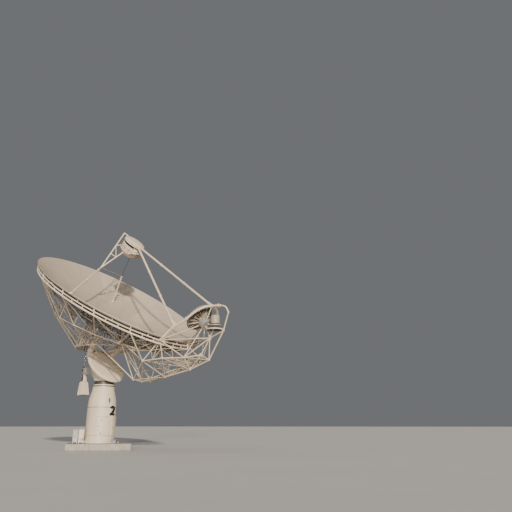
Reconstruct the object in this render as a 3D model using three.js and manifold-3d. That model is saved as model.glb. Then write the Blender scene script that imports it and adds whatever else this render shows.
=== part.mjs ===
// Steerable radio telescope dish on a steel pedestal, millimetres, +Z up.
// The origin is on the ground at the middle of the foundation, on the azimuth axis.
// +X points toward the boom end of the dish. The dish stands in its stow pose, looking straight up.
import * as THREE from 'three';
import { ConvexGeometry } from 'three/addons/geometries/ConvexGeometry.js';
import { mergeVertices } from 'three/addons/utils/BufferGeometryUtils.js';
import Module from 'manifold-3d';

const wasm = await Module();
wasm.setup();

// Driving dimensions
const GAP = 0.3;
const RUNNING_GAP = 8;
const APERTURE_RADIUS = 6750;
const FOCAL_LENGTH = 5486;
const RIM_TILT = THREE.MathUtils.degToRad(32.2);
const RIM_CENTRE_X = 1040;
const RIM_CENTRE_Z = 12140;
const SHELL_THICKNESS = 45;
const ELEVATION_AXIS = { x: 250, z: 8500 };
const PLINTH_SIDE = 4700;
const PLINTH_HEIGHT = 530;
const SITE_TURN = THREE.MathUtils.degToRad(49.5);
const PEDESTAL_RADIUS = 1110;
const PEDESTAL_TOP_RADIUS = 815;
const PEDESTAL_TOP = 4800;
const PEDESTAL_SHOULDER = 3250;
const PEDESTAL_WALL = 20;
const DRUM_RADIUS = 1655;
const DRUM_TILT = THREE.MathUtils.degToRad(51);
const DRUM_CENTRE = { x: 150, z: 6540 };
const DRUM_THICKNESS = 140;
const TRUSS_BAYS = 16;
const TRUSS_SIDE = 2200;

// Colours from the night photograph, as the bare paint would look by day
const CREAM = 0xe4dccb;
const PANEL = 0xd9d0c2;
const STEEL = 0xcfc6b6;
const DARK = 0x55504a;
const CONCRETE = 0xa39a8b;
const ZINC = 0xb3ac9f;

const telescope = new THREE.Group();

function addMesh(name, solid, color, roughness = 0.6, metalness = 0.1) {
  const material = new THREE.MeshStandardMaterial({ color, roughness, metalness });
  const mesh = new THREE.Mesh(geometryOf(solid), material);
  mesh.name = name;
  telescope.add(mesh);
  return mesh;
}

function solidOf(geometry) {
  const bare = geometry.clone();
  for (const key of Object.keys(bare.attributes)) {
    if (key !== 'position') bare.deleteAttribute(key);
  }
  const merged = mergeVertices(bare, 1e-3);
  return new wasm.Manifold(new wasm.Mesh({
    numProp: 3,
    vertProperties: new Float32Array(merged.attributes.position.array),
    triVerts: new Uint32Array(merged.index.array),
  }));
}

function geometryOf(solid) {
  const mesh = solid.getMesh();
  const geometry = new THREE.BufferGeometry();
  geometry.setAttribute('position', new THREE.BufferAttribute(new Float32Array(mesh.vertProperties), 3));
  geometry.setIndex(new THREE.BufferAttribute(new Uint32Array(mesh.triVerts), 1));
  geometry.computeVertexNormals();
  return geometry;
}

function join(solids) {
  return wasm.Manifold.union(solids);
}

// A cut can leave crumbs beside the main body, so only the largest body is kept
function cut(solid, ...tools) {
  let left = solid;
  for (const tool of tools) left = left.subtract(tool);
  const bodies = left.decompose();
  return bodies.reduce((best, body) => (body.volume() > best.volume() ? body : best));
}

const v = (x, y, z) => new THREE.Vector3(x, y, z);
const mirrorY = (p) => v(p.x, -p.y, p.z);
const sided = (p, side) => v(p.x, p.y * side, p.z);
const lerp = (p, q, t) => p.clone().lerp(q, t);

// Bar between two points, turned about its own length by twist
function bar(p, q, radius, sides = 5, twist = 0) {
  const length = p.distanceTo(q);
  const geometry = new THREE.CylinderGeometry(radius, radius, length, sides, 1, false, twist);
  const turn = new THREE.Quaternion().setFromUnitVectors(v(0, 1, 0), q.clone().sub(p).normalize());
  geometry.applyQuaternion(turn);
  geometry.translate((p.x + q.x) / 2, (p.y + q.y) / 2, (p.z + q.z) / 2);
  return solidOf(geometry);
}

// Lattice bar; as a cutter it is grown all round and at both ends
function member(p, q, radius, grow = 0, sides = 4, twist = 0) {
  const step = q.clone().sub(p).setLength(grow);
  return bar(p.clone().sub(step), q.clone().add(step), radius + grow * Math.SQRT2, sides, twist);
}

// Welded frame of four-sided bars, given as [start, end, radius]; each is turned a little more than the last,
// so that no two edges at a joint lie in one line
function lattice(bars, grow) {
  return join(bars.map(([p, q, radius], i) => member(p, q, radius, grow, 4, 0.2 + 0.37 * i)));
}

function block(sx, sy, sz, x, y, z) {
  const geometry = new THREE.BoxGeometry(sx, sy, sz);
  geometry.translate(x, y, z);
  return solidOf(geometry);
}

// Ring or disc of revolution about +Z, from [radius, z] pairs that run anticlockwise
function turned(profile, sides) {
  const points = profile.map(([r, z]) => new THREE.Vector2(r, z));
  const geometry = new THREE.LatheGeometry(points, sides);
  geometry.rotateX(Math.PI / 2);
  return solidOf(geometry);
}

const placed = (solid, matrix) => solid.transform(matrix.elements.slice());

function frameAt(x, y, z, axis) {
  const turn = new THREE.Quaternion().setFromUnitVectors(v(0, 0, 1), axis.clone().normalize());
  return new THREE.Matrix4().compose(v(x, y, z), turn, v(1, 1, 1));
}

// The paraboloid of the main reflector, which is a circle in plan about the rim's centre
const VERTEX_X = RIM_CENTRE_X + 2 * FOCAL_LENGTH * Math.tan(RIM_TILT);
const RIM_OFFSET = VERTEX_X - RIM_CENTRE_X;
const VERTEX_Z = RIM_CENTRE_Z - (RIM_OFFSET ** 2 + APERTURE_RADIUS ** 2) / (4 * FOCAL_LENGTH);
const dishHeight = (x, y) => VERTEX_Z + ((x - VERTEX_X) ** 2 + y ** 2) / (4 * FOCAL_LENGTH);

// Point below the dish face: plan radius, bay angle counted from the high end, and drop under the face
function underDish(radius, angle, drop) {
  const x = RIM_CENTRE_X - radius * Math.cos(angle);
  const y = radius * Math.sin(angle);
  return v(x, y, dishHeight(x, y) - drop);
}

// Bends a flat shape, drawn about the rim's plan centre with z = 0 on the face, onto the paraboloid
function draped(geometry) {
  const place = geometry.attributes.position;
  for (let i = 0; i < place.count; i += 1) {
    const x = RIM_CENTRE_X + place.getX(i);
    place.setXYZ(i, x, place.getY(i), place.getZ(i) + dishHeight(x, place.getY(i)));
  }
  return solidOf(geometry);
}

const SHELL_SECTORS = 48;
const SHELL_RINGS = [0, 0.27, 0.52, 0.76, 1];
const RAIL_SECTORS = 40;
const RAIL_SIDES = 5;
function reflectorShell(topDrop, bottomDrop, margin = 0) {
  const rings = SHELL_RINGS.map((f) => f * APERTURE_RADIUS);
  if (margin) rings.push(APERTURE_RADIUS + margin);
  const outline = [...rings.map((r) => [r, -bottomDrop]), ...rings.map((r) => [r, -topDrop]).reverse()];
  const geometry = new THREE.LatheGeometry(outline.map(([r, z]) => new THREE.Vector2(r, z)), SHELL_SECTORS);
  geometry.rotateX(Math.PI / 2);
  return draped(geometry);
}

function rimTube(planRadius, drop, radius) {
  const geometry = new THREE.TorusGeometry(planRadius, radius, RAIL_SIDES, RAIL_SECTORS);
  geometry.translate(0, 0, -drop);
  return draped(geometry);
}

// Foundation, set square to the service road and not to the dish
function siteBlock(width, depth, height, across, forward, base) {
  const geometry = new THREE.BoxGeometry(width, depth, height);
  geometry.translate(across, -forward, base + height / 2);
  geometry.rotateZ(SITE_TURN);
  return solidOf(geometry);
}

const plinth = siteBlock(PLINTH_SIDE, PLINTH_SIDE, PLINTH_HEIGHT, 0, 0, 0);
addMesh('foundation_plinth', plinth, CONCRETE, 0.9, 0);

// Pedestal tower: welded tube with a base flange, a tapered shoulder and a top flange
const PEDESTAL_SIDES = 32;
const SHOULDER_BEND = { radius: 1070, rise: 500 };
const NECK = { radius: 955, rise: 980 };
const TOP_SEAT = { width: 120, depth: 200 };
const BASE_FLANGE = { radius: 1180, height: 60 };
const TOP_FLANGE = { radius: 845, height: 120 };
const pedestalFoot = PLINTH_HEIGHT + GAP;
const pedestal = turned([
  [PEDESTAL_RADIUS - PEDESTAL_WALL, pedestalFoot],
  [BASE_FLANGE.radius, pedestalFoot],
  [BASE_FLANGE.radius, pedestalFoot + BASE_FLANGE.height],
  [PEDESTAL_RADIUS, pedestalFoot + BASE_FLANGE.height],
  [PEDESTAL_RADIUS, PEDESTAL_SHOULDER],
  [SHOULDER_BEND.radius, PEDESTAL_SHOULDER + SHOULDER_BEND.rise],
  [NECK.radius, PEDESTAL_SHOULDER + NECK.rise],
  [PEDESTAL_TOP_RADIUS, PEDESTAL_TOP - TOP_FLANGE.height],
  [TOP_FLANGE.radius, PEDESTAL_TOP - TOP_FLANGE.height],
  [TOP_FLANGE.radius, PEDESTAL_TOP],
  [PEDESTAL_TOP_RADIUS - TOP_SEAT.width, PEDESTAL_TOP],
  [PEDESTAL_TOP_RADIUS - TOP_SEAT.width, PEDESTAL_TOP - TOP_SEAT.depth],
  [NECK.radius - PEDESTAL_WALL, PEDESTAL_SHOULDER + NECK.rise - PEDESTAL_WALL],
  [PEDESTAL_RADIUS - PEDESTAL_WALL, PEDESTAL_SHOULDER],
  [PEDESTAL_RADIUS - PEDESTAL_WALL, pedestalFoot],
], PEDESTAL_SIDES);
addMesh('pedestal_tube', pedestal, CREAM);

// Access door on the right of the pedestal
const DOOR = { turn: THREE.MathUtils.degToRad(22), width: 760, sill: 260, height: 1750, depth: 45 };
const doorTurn = new THREE.Matrix4().makeRotationZ(SITE_TURN - DOOR.turn);
function curvedPlate(width, base, height, inner, outer) {
  const top = base + height;
  const profile = [[inner, base], [outer, base], [outer, top], [inner, top], [inner, base]];
  const wedge = block(2 * outer, width, 3 * height, outer, 0, base + height / 2);
  return turned(profile, PEDESTAL_SIDES).intersect(placed(wedge, doorTurn));
}
const doorFace = PEDESTAL_RADIUS + DOOR.depth;
const door = curvedPlate(DOOR.width, PLINTH_HEIGHT + DOOR.sill, DOOR.height, PEDESTAL_RADIUS + GAP, doorFace);
addMesh('access_door', door, CREAM);

// Two equipment cabinets beside the pedestal; foot, case and lid sink a little into each other
const CABINET = { width: 400, depth: 430, height: 920, forward: 850 };
const CABINET_FOOT = { width: 60, depth: 390, height: 80, spread: 152 };
const CABINET_LID = { width: 424, depth: 460, height: 35 };
const SINK = 1;
for (const { name, across } of [
  { name: 'equipment_cabinet_left', across: -1755 },
  { name: 'equipment_cabinet_right', across: -1325 },
]) {
  const base = PLINTH_HEIGHT + GAP;
  const part = (size, offset, z) => {
    return siteBlock(size.width, size.depth, size.height, across + offset, CABINET.forward, z);
  };
  const feet = [-1, 1].map((s) => part(CABINET_FOOT, s * CABINET_FOOT.spread, base));
  const caseBase = base + CABINET_FOOT.height - SINK;
  const lid = part(CABINET_LID, 0, caseBase + CABINET.height - SINK);
  addMesh(name, join([...feet, part(CABINET, 0, caseBase), lid]), ZINC, 0.5, 0.3);
}

// Turntable: slewing ring on the pedestal, then the leaning yoke and its round bulkhead
const SLEWING_RING = { radius: 805, height: 170 };
const yokeFoot = PEDESTAL_TOP + GAP;
const ringTop = yokeFoot + SLEWING_RING.height;
const slewingRing = turned([[0, yokeFoot], [SLEWING_RING.radius, yokeFoot],
  [SLEWING_RING.radius, ringTop], [0, ringTop]], 32);
addMesh('slewing_ring', slewingRing, DARK, 0.5, 0.5);

// Round bulkhead of the yoke, tipped toward the boom; grown by a gap where a neighbour is cut by it
const drumAxis = v(Math.sin(DRUM_TILT), 0, Math.cos(DRUM_TILT));
const drumFrame = frameAt(DRUM_CENTRE.x, 0, DRUM_CENTRE.z, drumAxis);
const DRUM_FLANGE = { width: 55, depth: 45 };
const DRUM_FACE = { edge: -30, shoulder: 15, shoulderWidth: 90, middle: 60 };
function bulkheadSolid(grow) {
  const r = DRUM_RADIUS + grow;
  const lip = r + DRUM_FLANGE.width;
  const back = -DRUM_THICKNESS - grow;
  const step = DRUM_FLANGE.depth - DRUM_THICKNESS + grow;
  return placed(turned([
    [0, back], [lip, back], [lip, step], [r, step], [r, grow + DRUM_FACE.edge],
    [r - DRUM_FACE.shoulderWidth, grow + DRUM_FACE.shoulder], [0, grow + DRUM_FACE.middle],
  ], 40), drumFrame);
}
addMesh('yoke_bulkhead', bulkheadSolid(0), CREAM);

function circlePoints(frame, radius, height, count) {
  const list = [];
  for (let i = 0; i < count; i += 1) {
    const a = (2 * Math.PI * i) / count;
    list.push(v(radius * Math.cos(a), radius * Math.sin(a), height).applyMatrix4(frame));
  }
  return list;
}
const hullOf = (points) => solidOf(new ConvexGeometry(points));
const upright = new THREE.Matrix4();
const YOKE = { neck: 785, neckTop: 5350, lap: 100, shoulder: 1350, back: 1000, backDepth: 650 };
const BEARING = { inner: 1480, outer: 1830, radius: 290, pin: 150 };
const sides = [['near', -1], ['far', 1]];
const alongY = (x, y, z) => frameAt(x, y, z, v(0, 1, 0));
function spindle(x, z, y0, y1, radius, count = 20) {
  const low = Math.min(y0, y1);
  const high = Math.max(y0, y1);
  const length = high - low;
  return placed(turned([[0, 0], [radius, 0], [radius, length], [0, length]], count), alongY(x, low, z));
}

// Yoke column: a neck on the ring, a body behind the bulkhead, and a cross tube at the top for the two arms
const CROSS_TUBE = { x: -960, z: 7280, radius: 230, end: 900 };
function yokeBody(grow) {
  const neckRadius = YOKE.neck + grow;
  const neckFoot = ringTop + GAP;
  const crossEnd = CROSS_TUBE.end + grow;
  return join([
    hullOf([
      ...circlePoints(upright, neckRadius, neckFoot, 24),
      ...circlePoints(upright, neckRadius, YOKE.neckTop, 24),
    ]),
    hullOf([
      ...circlePoints(upright, neckRadius, YOKE.neckTop - YOKE.lap, 24),
      ...circlePoints(drumFrame, YOKE.shoulder + grow, -DRUM_THICKNESS, 24),
      ...circlePoints(drumFrame, YOKE.back + grow, -DRUM_THICKNESS - YOKE.backDepth - grow, 20),
    ]),
    spindle(CROSS_TUBE.x, CROSS_TUBE.z, -crossEnd, crossEnd, CROSS_TUBE.radius + grow),
  ]);
}
addMesh('yoke_column', cut(yokeBody(0), bulkheadSolid(GAP)), CREAM);

// Yoke arms carry the two elevation bearings; the trunnions belong to the dish
const { x: axisX, z: axisZ } = ELEVATION_AXIS;
const ARM = { top: 190, foot: 200, footEnd: 1120 };
const BRACE = { topX: 100, topY: 1600, topZ: 8200, top: 90, footSide: 230, footUp: 1500, foot: 150 };
const BEHIND_FACE = -60;
const braceRoom = placed(turned([
  [0, -BRACE.topZ], [DRUM_RADIUS, -BRACE.topZ], [DRUM_RADIUS, BEHIND_FACE], [0, BEHIND_FACE],
], 24), drumFrame);
function armBrace(side) {
  const up = v(-Math.cos(DRUM_TILT), 0, Math.sin(DRUM_TILT)).multiplyScalar(BRACE.footUp);
  const foot = v(DRUM_CENTRE.x, side * BRACE.footSide, DRUM_CENTRE.z).add(up)
    .addScaledVector(drumAxis, -DRUM_THICKNESS);
  const top = v(BRACE.topX, side * BRACE.topY, BRACE.topZ);
  const lean = top.clone().sub(foot).normalize();
  return cut(hullOf([
    ...circlePoints(frameAt(foot.x, foot.y, foot.z, lean), BRACE.foot, 0, 8),
    ...circlePoints(frameAt(top.x, top.y, top.z, lean), BRACE.top, 0, 8),
  ]), braceRoom);
}
for (const [label, side] of sides) {
  const y0 = side * BEARING.inner;
  const y1 = side * BEARING.outer;
  const leg = hullOf([
    ...[y0, y1].flatMap((y) => circlePoints(alongY(axisX, y, axisZ), ARM.top, 0, 16)),
    ...[CROSS_TUBE.end + GAP, ARM.footEnd].flatMap((reach) => (
      circlePoints(alongY(CROSS_TUBE.x, side * reach, CROSS_TUBE.z), ARM.foot, 0, 16))),
  ]);
  const housing = spindle(axisX, axisZ, y0, y1, BEARING.radius);
  const bore = spindle(axisX, axisZ, y0 - side * 100, y1 + side * 100, BEARING.pin + RUNNING_GAP);
  addMesh(`yoke_arm_${label}`, cut(join([leg, housing, armBrace(side)]), bulkheadSolid(GAP), bore), CREAM);
}
const COLLAR = { end: 1990, radius: 270 };
const HUB_DISC = { start: 1980, end: 2320, radius: 210 };
function trunnion(side, grow) {
  const flat = side * (BEARING.outer + GAP);
  return join([
    spindle(axisX, axisZ, side * (BEARING.inner - 20), side * (HUB_DISC.end - 20), BEARING.pin + grow),
    spindle(axisX, axisZ, flat - side * grow, side * COLLAR.end, COLLAR.radius + grow),
    spindle(axisX, axisZ, side * HUB_DISC.start, side * HUB_DISC.end, HUB_DISC.radius + grow),
  ]);
}
for (const [label, side] of sides) addMesh(`elevation_trunnion_${label}`, trunnion(side, 0), STEEL, 0.5, 0.4);

// Elevation jack: a gearbox that swings between outrigger plates, a screw through it, a flared shroud below
const JACK_PIVOT = v(-2600, 0, 6250);
const LEVER_PIVOT = v(-2710, 0, 8000);
const jackAxis = LEVER_PIVOT.clone().sub(JACK_PIVOT).normalize();
const jackFrame = frameAt(JACK_PIVOT.x, 0, JACK_PIVOT.z, jackAxis);
const OUTRIGGER = { inner: 165, outer: 205, endRadius: 170 };
const OUTRIGGER_ROOT = [{ x: -1000, z: 6700 }, { x: -900, z: 5500 }];
const JACK_PIN = 70;
for (const [label, side] of sides) {
  const plate = hullOf([side * OUTRIGGER.inner, side * OUTRIGGER.outer].flatMap((y) => [
    ...circlePoints(alongY(JACK_PIVOT.x, y, JACK_PIVOT.z), OUTRIGGER.endRadius, 0, 14),
    ...OUTRIGGER_ROOT.map(({ x, z }) => v(x, y, z)),
  ]));
  const bore = spindle(JACK_PIVOT.x, JACK_PIVOT.z, side * 100, side * 400, JACK_PIN + RUNNING_GAP);
  addMesh(`jack_outrigger_${label}`, cut(plate, yokeBody(GAP), bulkheadSolid(GAP), bore), STEEL, 0.6, 0.2);
}
const SCREW_RADIUS = 45;
const screwBore = placed(turned([[0, -3000], [SCREW_RADIUS + GAP, -3000],
  [SCREW_RADIUS + GAP, 3000], [0, 3000]], 12), jackFrame);
const GEARBOX = { x: 320, y: 310, z: 380, pinEnd: 220, collar: 120 };
const GEARBOX_TOP = { side: 240, height: 120, z: 240 };
const pinThrough = (end, radius) => spindle(JACK_PIVOT.x, JACK_PIVOT.z, -end, end, radius);
const gearbox = join([
  placed(block(GEARBOX.x, GEARBOX.y, GEARBOX.z, 0, 0, 0), jackFrame),
  pinThrough(GEARBOX.pinEnd, JACK_PIN),
  pinThrough(OUTRIGGER.inner - GAP, GEARBOX.collar),
  placed(block(GEARBOX_TOP.side, GEARBOX_TOP.side, GEARBOX_TOP.height, 0, 0, GEARBOX_TOP.z), jackFrame),
]);
addMesh('jack_gearbox', gearbox.subtract(screwBore), DARK, 0.5, 0.4);

// Square flared tube, from half widths across the flats and heights along the jack
function squareTube(profile) {
  const solid = turned(profile.map(([half, z]) => [half * Math.SQRT2, z]), 4);
  return placed(placed(solid, new THREE.Matrix4().makeRotationZ(Math.PI / 4)), jackFrame);
}
const shroudTop = -GEARBOX.z / 2 - GAP;
addMesh('jack_shroud', squareTube([
  [120, shroudTop], [70, shroudTop], [70, -204], [108, -204], [156, -915], [222, -975], [323, -2010],
  [337, -2010], [236, -965], [170, -905], [120, shroudTop],
]), CREAM);
const screwLength = JACK_PIVOT.distanceTo(LEVER_PIVOT);
const SCREW_TAIL = 1930;
const SCREW_EYE = { half: 60, radius: 110 };
addMesh('jack_screw', join([
  placed(turned([[0, -SCREW_TAIL], [SCREW_RADIUS, -SCREW_TAIL],
    [SCREW_RADIUS, screwLength], [0, screwLength]], 12), jackFrame),
  spindle(LEVER_PIVOT.x, LEVER_PIVOT.z, -SCREW_EYE.half, SCREW_EYE.half, SCREW_EYE.radius, 16),
]), STEEL, 0.35, 0.8);

// Main reflector, and the same form grown above and around where a neighbour is cut by it
const CUT_ROOM = 400;
addMesh('main_reflector', reflectorShell(0, SHELL_THICKNESS), PANEL, 0.55, 0.2);
const shellCutter = reflectorShell(-CUT_ROOM, SHELL_THICKNESS + GAP, CUT_ROOM);

// Space frame behind the reflector: rings of joints at named places, joined by bars
const bay = (2 * Math.PI) / TRUSS_BAYS;
const bayAngle = (k) => (k + 0.5) * bay;
const POST_RISE = 200;
const RAIL_DROP = { upper: 300, lower: 560 };
const RAIL_RADIUS = { upper: 55, lower: 80, post: 48 };
const RAIL_PLAN = APERTURE_RADIUS - 70;
const BASE_RING = { x: -200, radius: 2400, z: 7900 };
const POST_PLAN = { inner: 2000, outer: 4400 };
const MIDDLE = { share: 0.52, bulge: 350, highEndBulge: 500 };
const baseRing = (k) => {
  const a = bayAngle(k);
  return v(BASE_RING.x - BASE_RING.radius * Math.cos(a), BASE_RING.radius * Math.sin(a), BASE_RING.z);
};
const upperInner = (k) => underDish(POST_PLAN.inner, bayAngle(k), -POST_RISE);
const upperOuter = (k) => underDish(POST_PLAN.outer, bayAngle(k), -POST_RISE);
const railLower = (k) => underDish(RAIL_PLAN, bayAngle(k), RAIL_DROP.lower);
const lowerMiddle = (k) => {
  const middle = lerp(baseRing(k), railLower(k), MIDDLE.share);
  const bulge = MIDDLE.bulge + MIDDLE.highEndBulge * Math.max(0, Math.cos(bayAngle(k)));
  return middle.add(v(0, 0, -bulge));
};

function rimFrame(grow) {
  const parts = [
    rimTube(RAIL_PLAN, RAIL_DROP.upper, RAIL_RADIUS.upper + grow),
    rimTube(RAIL_PLAN, RAIL_DROP.lower, RAIL_RADIUS.lower + grow),
  ];
  for (let k = 0; k < TRUSS_BAYS; k += 1) {
    const foot = railLower(k);
    parts.push(member(foot, v(foot.x, foot.y, foot.z + RAIL_DROP.lower), RAIL_RADIUS.post, grow));
  }
  return join(parts);
}
addMesh('rim_frame', cut(rimFrame(0), shellCutter), CREAM);

const allBays = Array.from({ length: TRUSS_BAYS }, (unused, k) => k);
function dishTrussBars() {
  const bars = [];
  for (const k of allBays) {
    const n = (k + 1) % TRUSS_BAYS;
    bars.push(
      [baseRing(k), lowerMiddle(k), 60], [lowerMiddle(k), railLower(k), 60],
      [baseRing(k), upperInner(k), 50], [lowerMiddle(k), upperOuter(k), 50],
      [lowerMiddle(k), lowerMiddle(n), 55],
    );
    // The jack screw passes where the ring would close at the high end, so the lever bars bridge it there
    if (n > 0) bars.push([baseRing(k), baseRing(n), 70]);
  }
  for (const [, side] of sides) {
    const star = v(axisX, side * TRUSS_SIDE, axisZ);
    const ring = side > 0 ? [2, 3, 4, 5] : [13, 12, 11, 10];
    for (const k of ring) bars.push([star, baseRing(k), 60]);
    bars.push([star, upperInner(ring[1]), 50], [star, upperInner(ring[2]), 50]);
  }
  return bars;
}

// Lever on the dish that the jack pushes; its two plates stand clear of the screw eye
const LEVER = { inner: 72, outer: 112, radius: 200, topHalf: 160, top: 420 };
const LEVER_HEAD = { x: 360, y: 260, z: 160 };
const leverHead = v(LEVER_PIVOT.x, 0, LEVER_PIVOT.z + LEVER.top);
function jackLever(grow) {
  const half = LEVER.topHalf + grow;
  const plates = [-1, 1].map((side) => {
    const y0 = side * (LEVER.inner - grow);
    const y1 = side * (LEVER.outer + grow);
    return hullOf([y0, y1].flatMap((y) => [
      ...circlePoints(alongY(LEVER_PIVOT.x, y, LEVER_PIVOT.z), LEVER.radius + grow, 0, 16),
      v(leverHead.x - half, y, leverHead.z), v(leverHead.x + half, y, leverHead.z),
    ]));
  });
  const { x, y, z } = LEVER_HEAD;
  const head = block(x + 2 * grow, y + 2 * grow, z + grow, leverHead.x, 0, leverHead.z);
  return join([...plates, head]);
}
addMesh('jack_lever', jackLever(0), STEEL, 0.5, 0.3);

const leverBars = [
  ...[0, 15, 1, 14].map((k) => [leverHead, baseRing(k), 60]),
  ...[0, 15].map((k) => [leverHead, upperInner(k), 55]),
  ...[0, 15].map((k) => [leverHead, lowerMiddle(k), 50]),
];
const dishTruss = (grow) => lattice([...dishTrussBars(), ...leverBars], grow);
const halfSpace = (side) => block(40000, 20000, 40000, 0, side * (10000 + GAP / 2), 10000);
const trunnionCutters = sides.map(([, side]) => trunnion(side, GAP));
const fullTruss = dishTruss(0);
const trussCutters = [shellCutter, rimFrame(GAP), jackLever(GAP), ...trunnionCutters];
for (const [label, side] of sides) {
  addMesh(`dish_truss_${label}`, cut(fullTruss.intersect(halfSpace(side)), ...trussCutters), CREAM);
}

// Boom: a tapering space frame past the low end of the dish, with a bent tube over the receivers
const boom = {
  side: v(3970, TRUSS_SIDE, 7930),
  corner: v(7330, 1480, 7780),
  hip: v(6440, 2200, 6240),
  waist: v(8000, 1800, 6380),
  wrist: v(9300, 1000, 6420),
  knuckle: v(10050, 0, 6650),
  keelSide: v(4280, 900, 5120),
  keel: [v(4280, 0, 5050), v(6650, 0, 5270), v(9060, 0, 5680), v(10790, 0, 6250)],
  post: v(10800, 0, 7800),
  nose: v(12020, 0, 8230),
  tip: v(12430, 0, 9500),
  crown: v(10920, 0, 10140),
};
function boomTruss(grow) {
  const bars = [];
  const add = (p, q, radius = 55) => bars.push([p, q, radius]);
  const [k0, k1, k2, k3] = boom.keel;
  for (const [, side] of sides) {
    const at = (p) => sided(p, side);
    const star = v(axisX, side * TRUSS_SIDE, axisZ);
    const ring = side > 0 ? [5, 6] : [10, 9];
    add(star, at(boom.side), 75);
    add(at(boom.side), at(boom.corner), 75);
    add(at(boom.side), at(boom.hip), 65);
    add(railLower(side > 0 ? 5 : 10), at(boom.side), 60);
    add(railLower(side > 0 ? 6 : 9), at(boom.hip));
    add(at(boom.corner), at(boom.hip));
    add(at(boom.corner), at(boom.waist));
    add(at(boom.corner), at(boom.wrist), 65);
    add(at(boom.hip), at(boom.waist), 65);
    add(at(boom.waist), at(boom.wrist), 65);
    add(at(boom.wrist), boom.knuckle, 65);
    add(at(boom.keelSide), k0, 60);
    add(at(boom.keelSide), at(boom.hip));
    add(at(boom.keelSide), at(boom.side));
    add(at(boom.keelSide), baseRing(ring[0]), 60);
    add(at(boom.hip), k0);
    add(at(boom.hip), k1);
    add(at(boom.waist), k1);
    add(at(boom.wrist), k2);
    add(at(boom.wrist), boom.post);
    add(at(boom.corner), boom.post, 60);
    add(k0, baseRing(side > 0 ? 7 : 8), 60);
  }
  for (const p of [boom.side, boom.corner, boom.hip, boom.waist, boom.wrist]) add(p, mirrorY(p));
  add(k0, k1, 70);
  add(k1, k2, 70);
  add(k2, k3, 70);
  add(boom.knuckle, k3);
  add(boom.knuckle, k2);
  add(boom.knuckle, boom.post);
  add(k3, boom.post);
  add(k3, boom.nose, 70);
  add(boom.post, boom.nose);
  add(boom.nose, boom.tip, 65);
  return lattice(bars, grow);
}
const fullTrussCutter = dishTruss(GAP);
const boomSolid = cut(boomTruss(0), rimFrame(GAP), ...trunnionCutters, fullTrussCutter);
addMesh('boom_truss', boomSolid, CREAM);

// Bent tube from each low corner of the rim up to the crown over the receivers, then out to the tip
const ARCH_RADIUS = 120;
const CROWN_BALL = 162;
const archPath = [mirrorY(boom.corner), v(8470, -1420, 8560), v(9600, -1340, 9080), v(10400, -1190, 9600),
  v(10790, -720, 9950), boom.crown];
const archTail = [boom.crown, v(11660, 0, 10090), v(12150, 0, 9940), boom.tip];
function bentTube(points, radius, steps, count = 6) {
  const section = new THREE.Shape();
  for (let i = 0; i < count; i += 1) {
    const a = (2 * Math.PI * i) / count;
    if (i) section.lineTo(radius * Math.cos(a), radius * Math.sin(a));
    else section.moveTo(radius, 0);
  }
  const path = new THREE.CatmullRomCurve3(points, false, 'centripetal');
  return solidOf(new THREE.ExtrudeGeometry(section, { steps, extrudePath: path, bevelEnabled: false }));
}
function arch(grow) {
  const r = ARCH_RADIUS + grow;
  const crownBall = new THREE.SphereGeometry(CROWN_BALL + grow, 12, 8);
  crownBall.translate(boom.crown.x, boom.crown.y, boom.crown.z);
  return join([
    bentTube(archPath, r, 10),
    bentTube(archPath.map(mirrorY), r, 10),
    bentTube(archTail, r, 6),
    solidOf(crownBall),
  ]);
}
addMesh('boom_arch', cut(arch(0), rimFrame(GAP), boomTruss(GAP), fullTrussCutter, shellCutter), CREAM);

// Small ribbed reflector at the boom end, facing the focus cabin, with the receivers behind it
const SECONDARY = { x: 9900, z: 9300, radius: 1100, depth: 190, skin: 25 };
const secondaryAxis = v(-0.74, 0, 0.67).normalize();
const secondaryFrame = frameAt(SECONDARY.x, 0, SECONDARY.z, secondaryAxis);
const bowl = (r) => SECONDARY.depth * (r / SECONDARY.radius) ** 2;
function secondaryDish(grow) {
  const radii = [0, 0.35, 0.7, 1].map((f) => f * SECONDARY.radius);
  const back = radii.map((r) => [r ? r + grow : 0, bowl(r) - SECONDARY.skin - grow]);
  const front = radii.map((r) => [r ? r + grow : 0, bowl(r) + grow]).reverse();
  return placed(turned([...back, ...front], 28), secondaryFrame);
}
addMesh('secondary_reflector', secondaryDish(0), PANEL, 0.5, 0.3);

const HUB = { radius: 430, front: -330, back: -820 };
function receiverHub(grow) {
  return placed(turned([[0, HUB.back - grow], [HUB.radius + grow, HUB.back - grow],
    [HUB.radius + grow, HUB.front + grow], [0, HUB.front + grow]], 20), secondaryFrame);
}
addMesh('receiver_hub', receiverHub(0), DARK, 0.6, 0.3);

const RIB = { count: 8, radius: 32, inner: [120, -300], outer: [1060, 128] };
const RIB_DISC = { radius: 260, back: -332, front: -270 };
function secondaryRibs(grow) {
  const r = RIB_DISC.radius + grow;
  const back = RIB_DISC.back - grow;
  const disc = turned([[0, back], [r, back], [r, RIB_DISC.front], [0, RIB_DISC.front]], 16);
  const parts = [placed(disc, secondaryFrame)];
  for (let i = 0; i < RIB.count; i += 1) {
    const a = (2 * Math.PI * i) / RIB.count;
    const at = ([radius, h]) => v(radius * Math.cos(a), radius * Math.sin(a), h).applyMatrix4(secondaryFrame);
    parts.push(bar(at(RIB.inner), at(RIB.outer), RIB.radius + grow, 4));
  }
  return join(parts);
}
addMesh('secondary_ribs', cut(secondaryRibs(0), secondaryDish(GAP), receiverHub(GAP)), STEEL);

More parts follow.
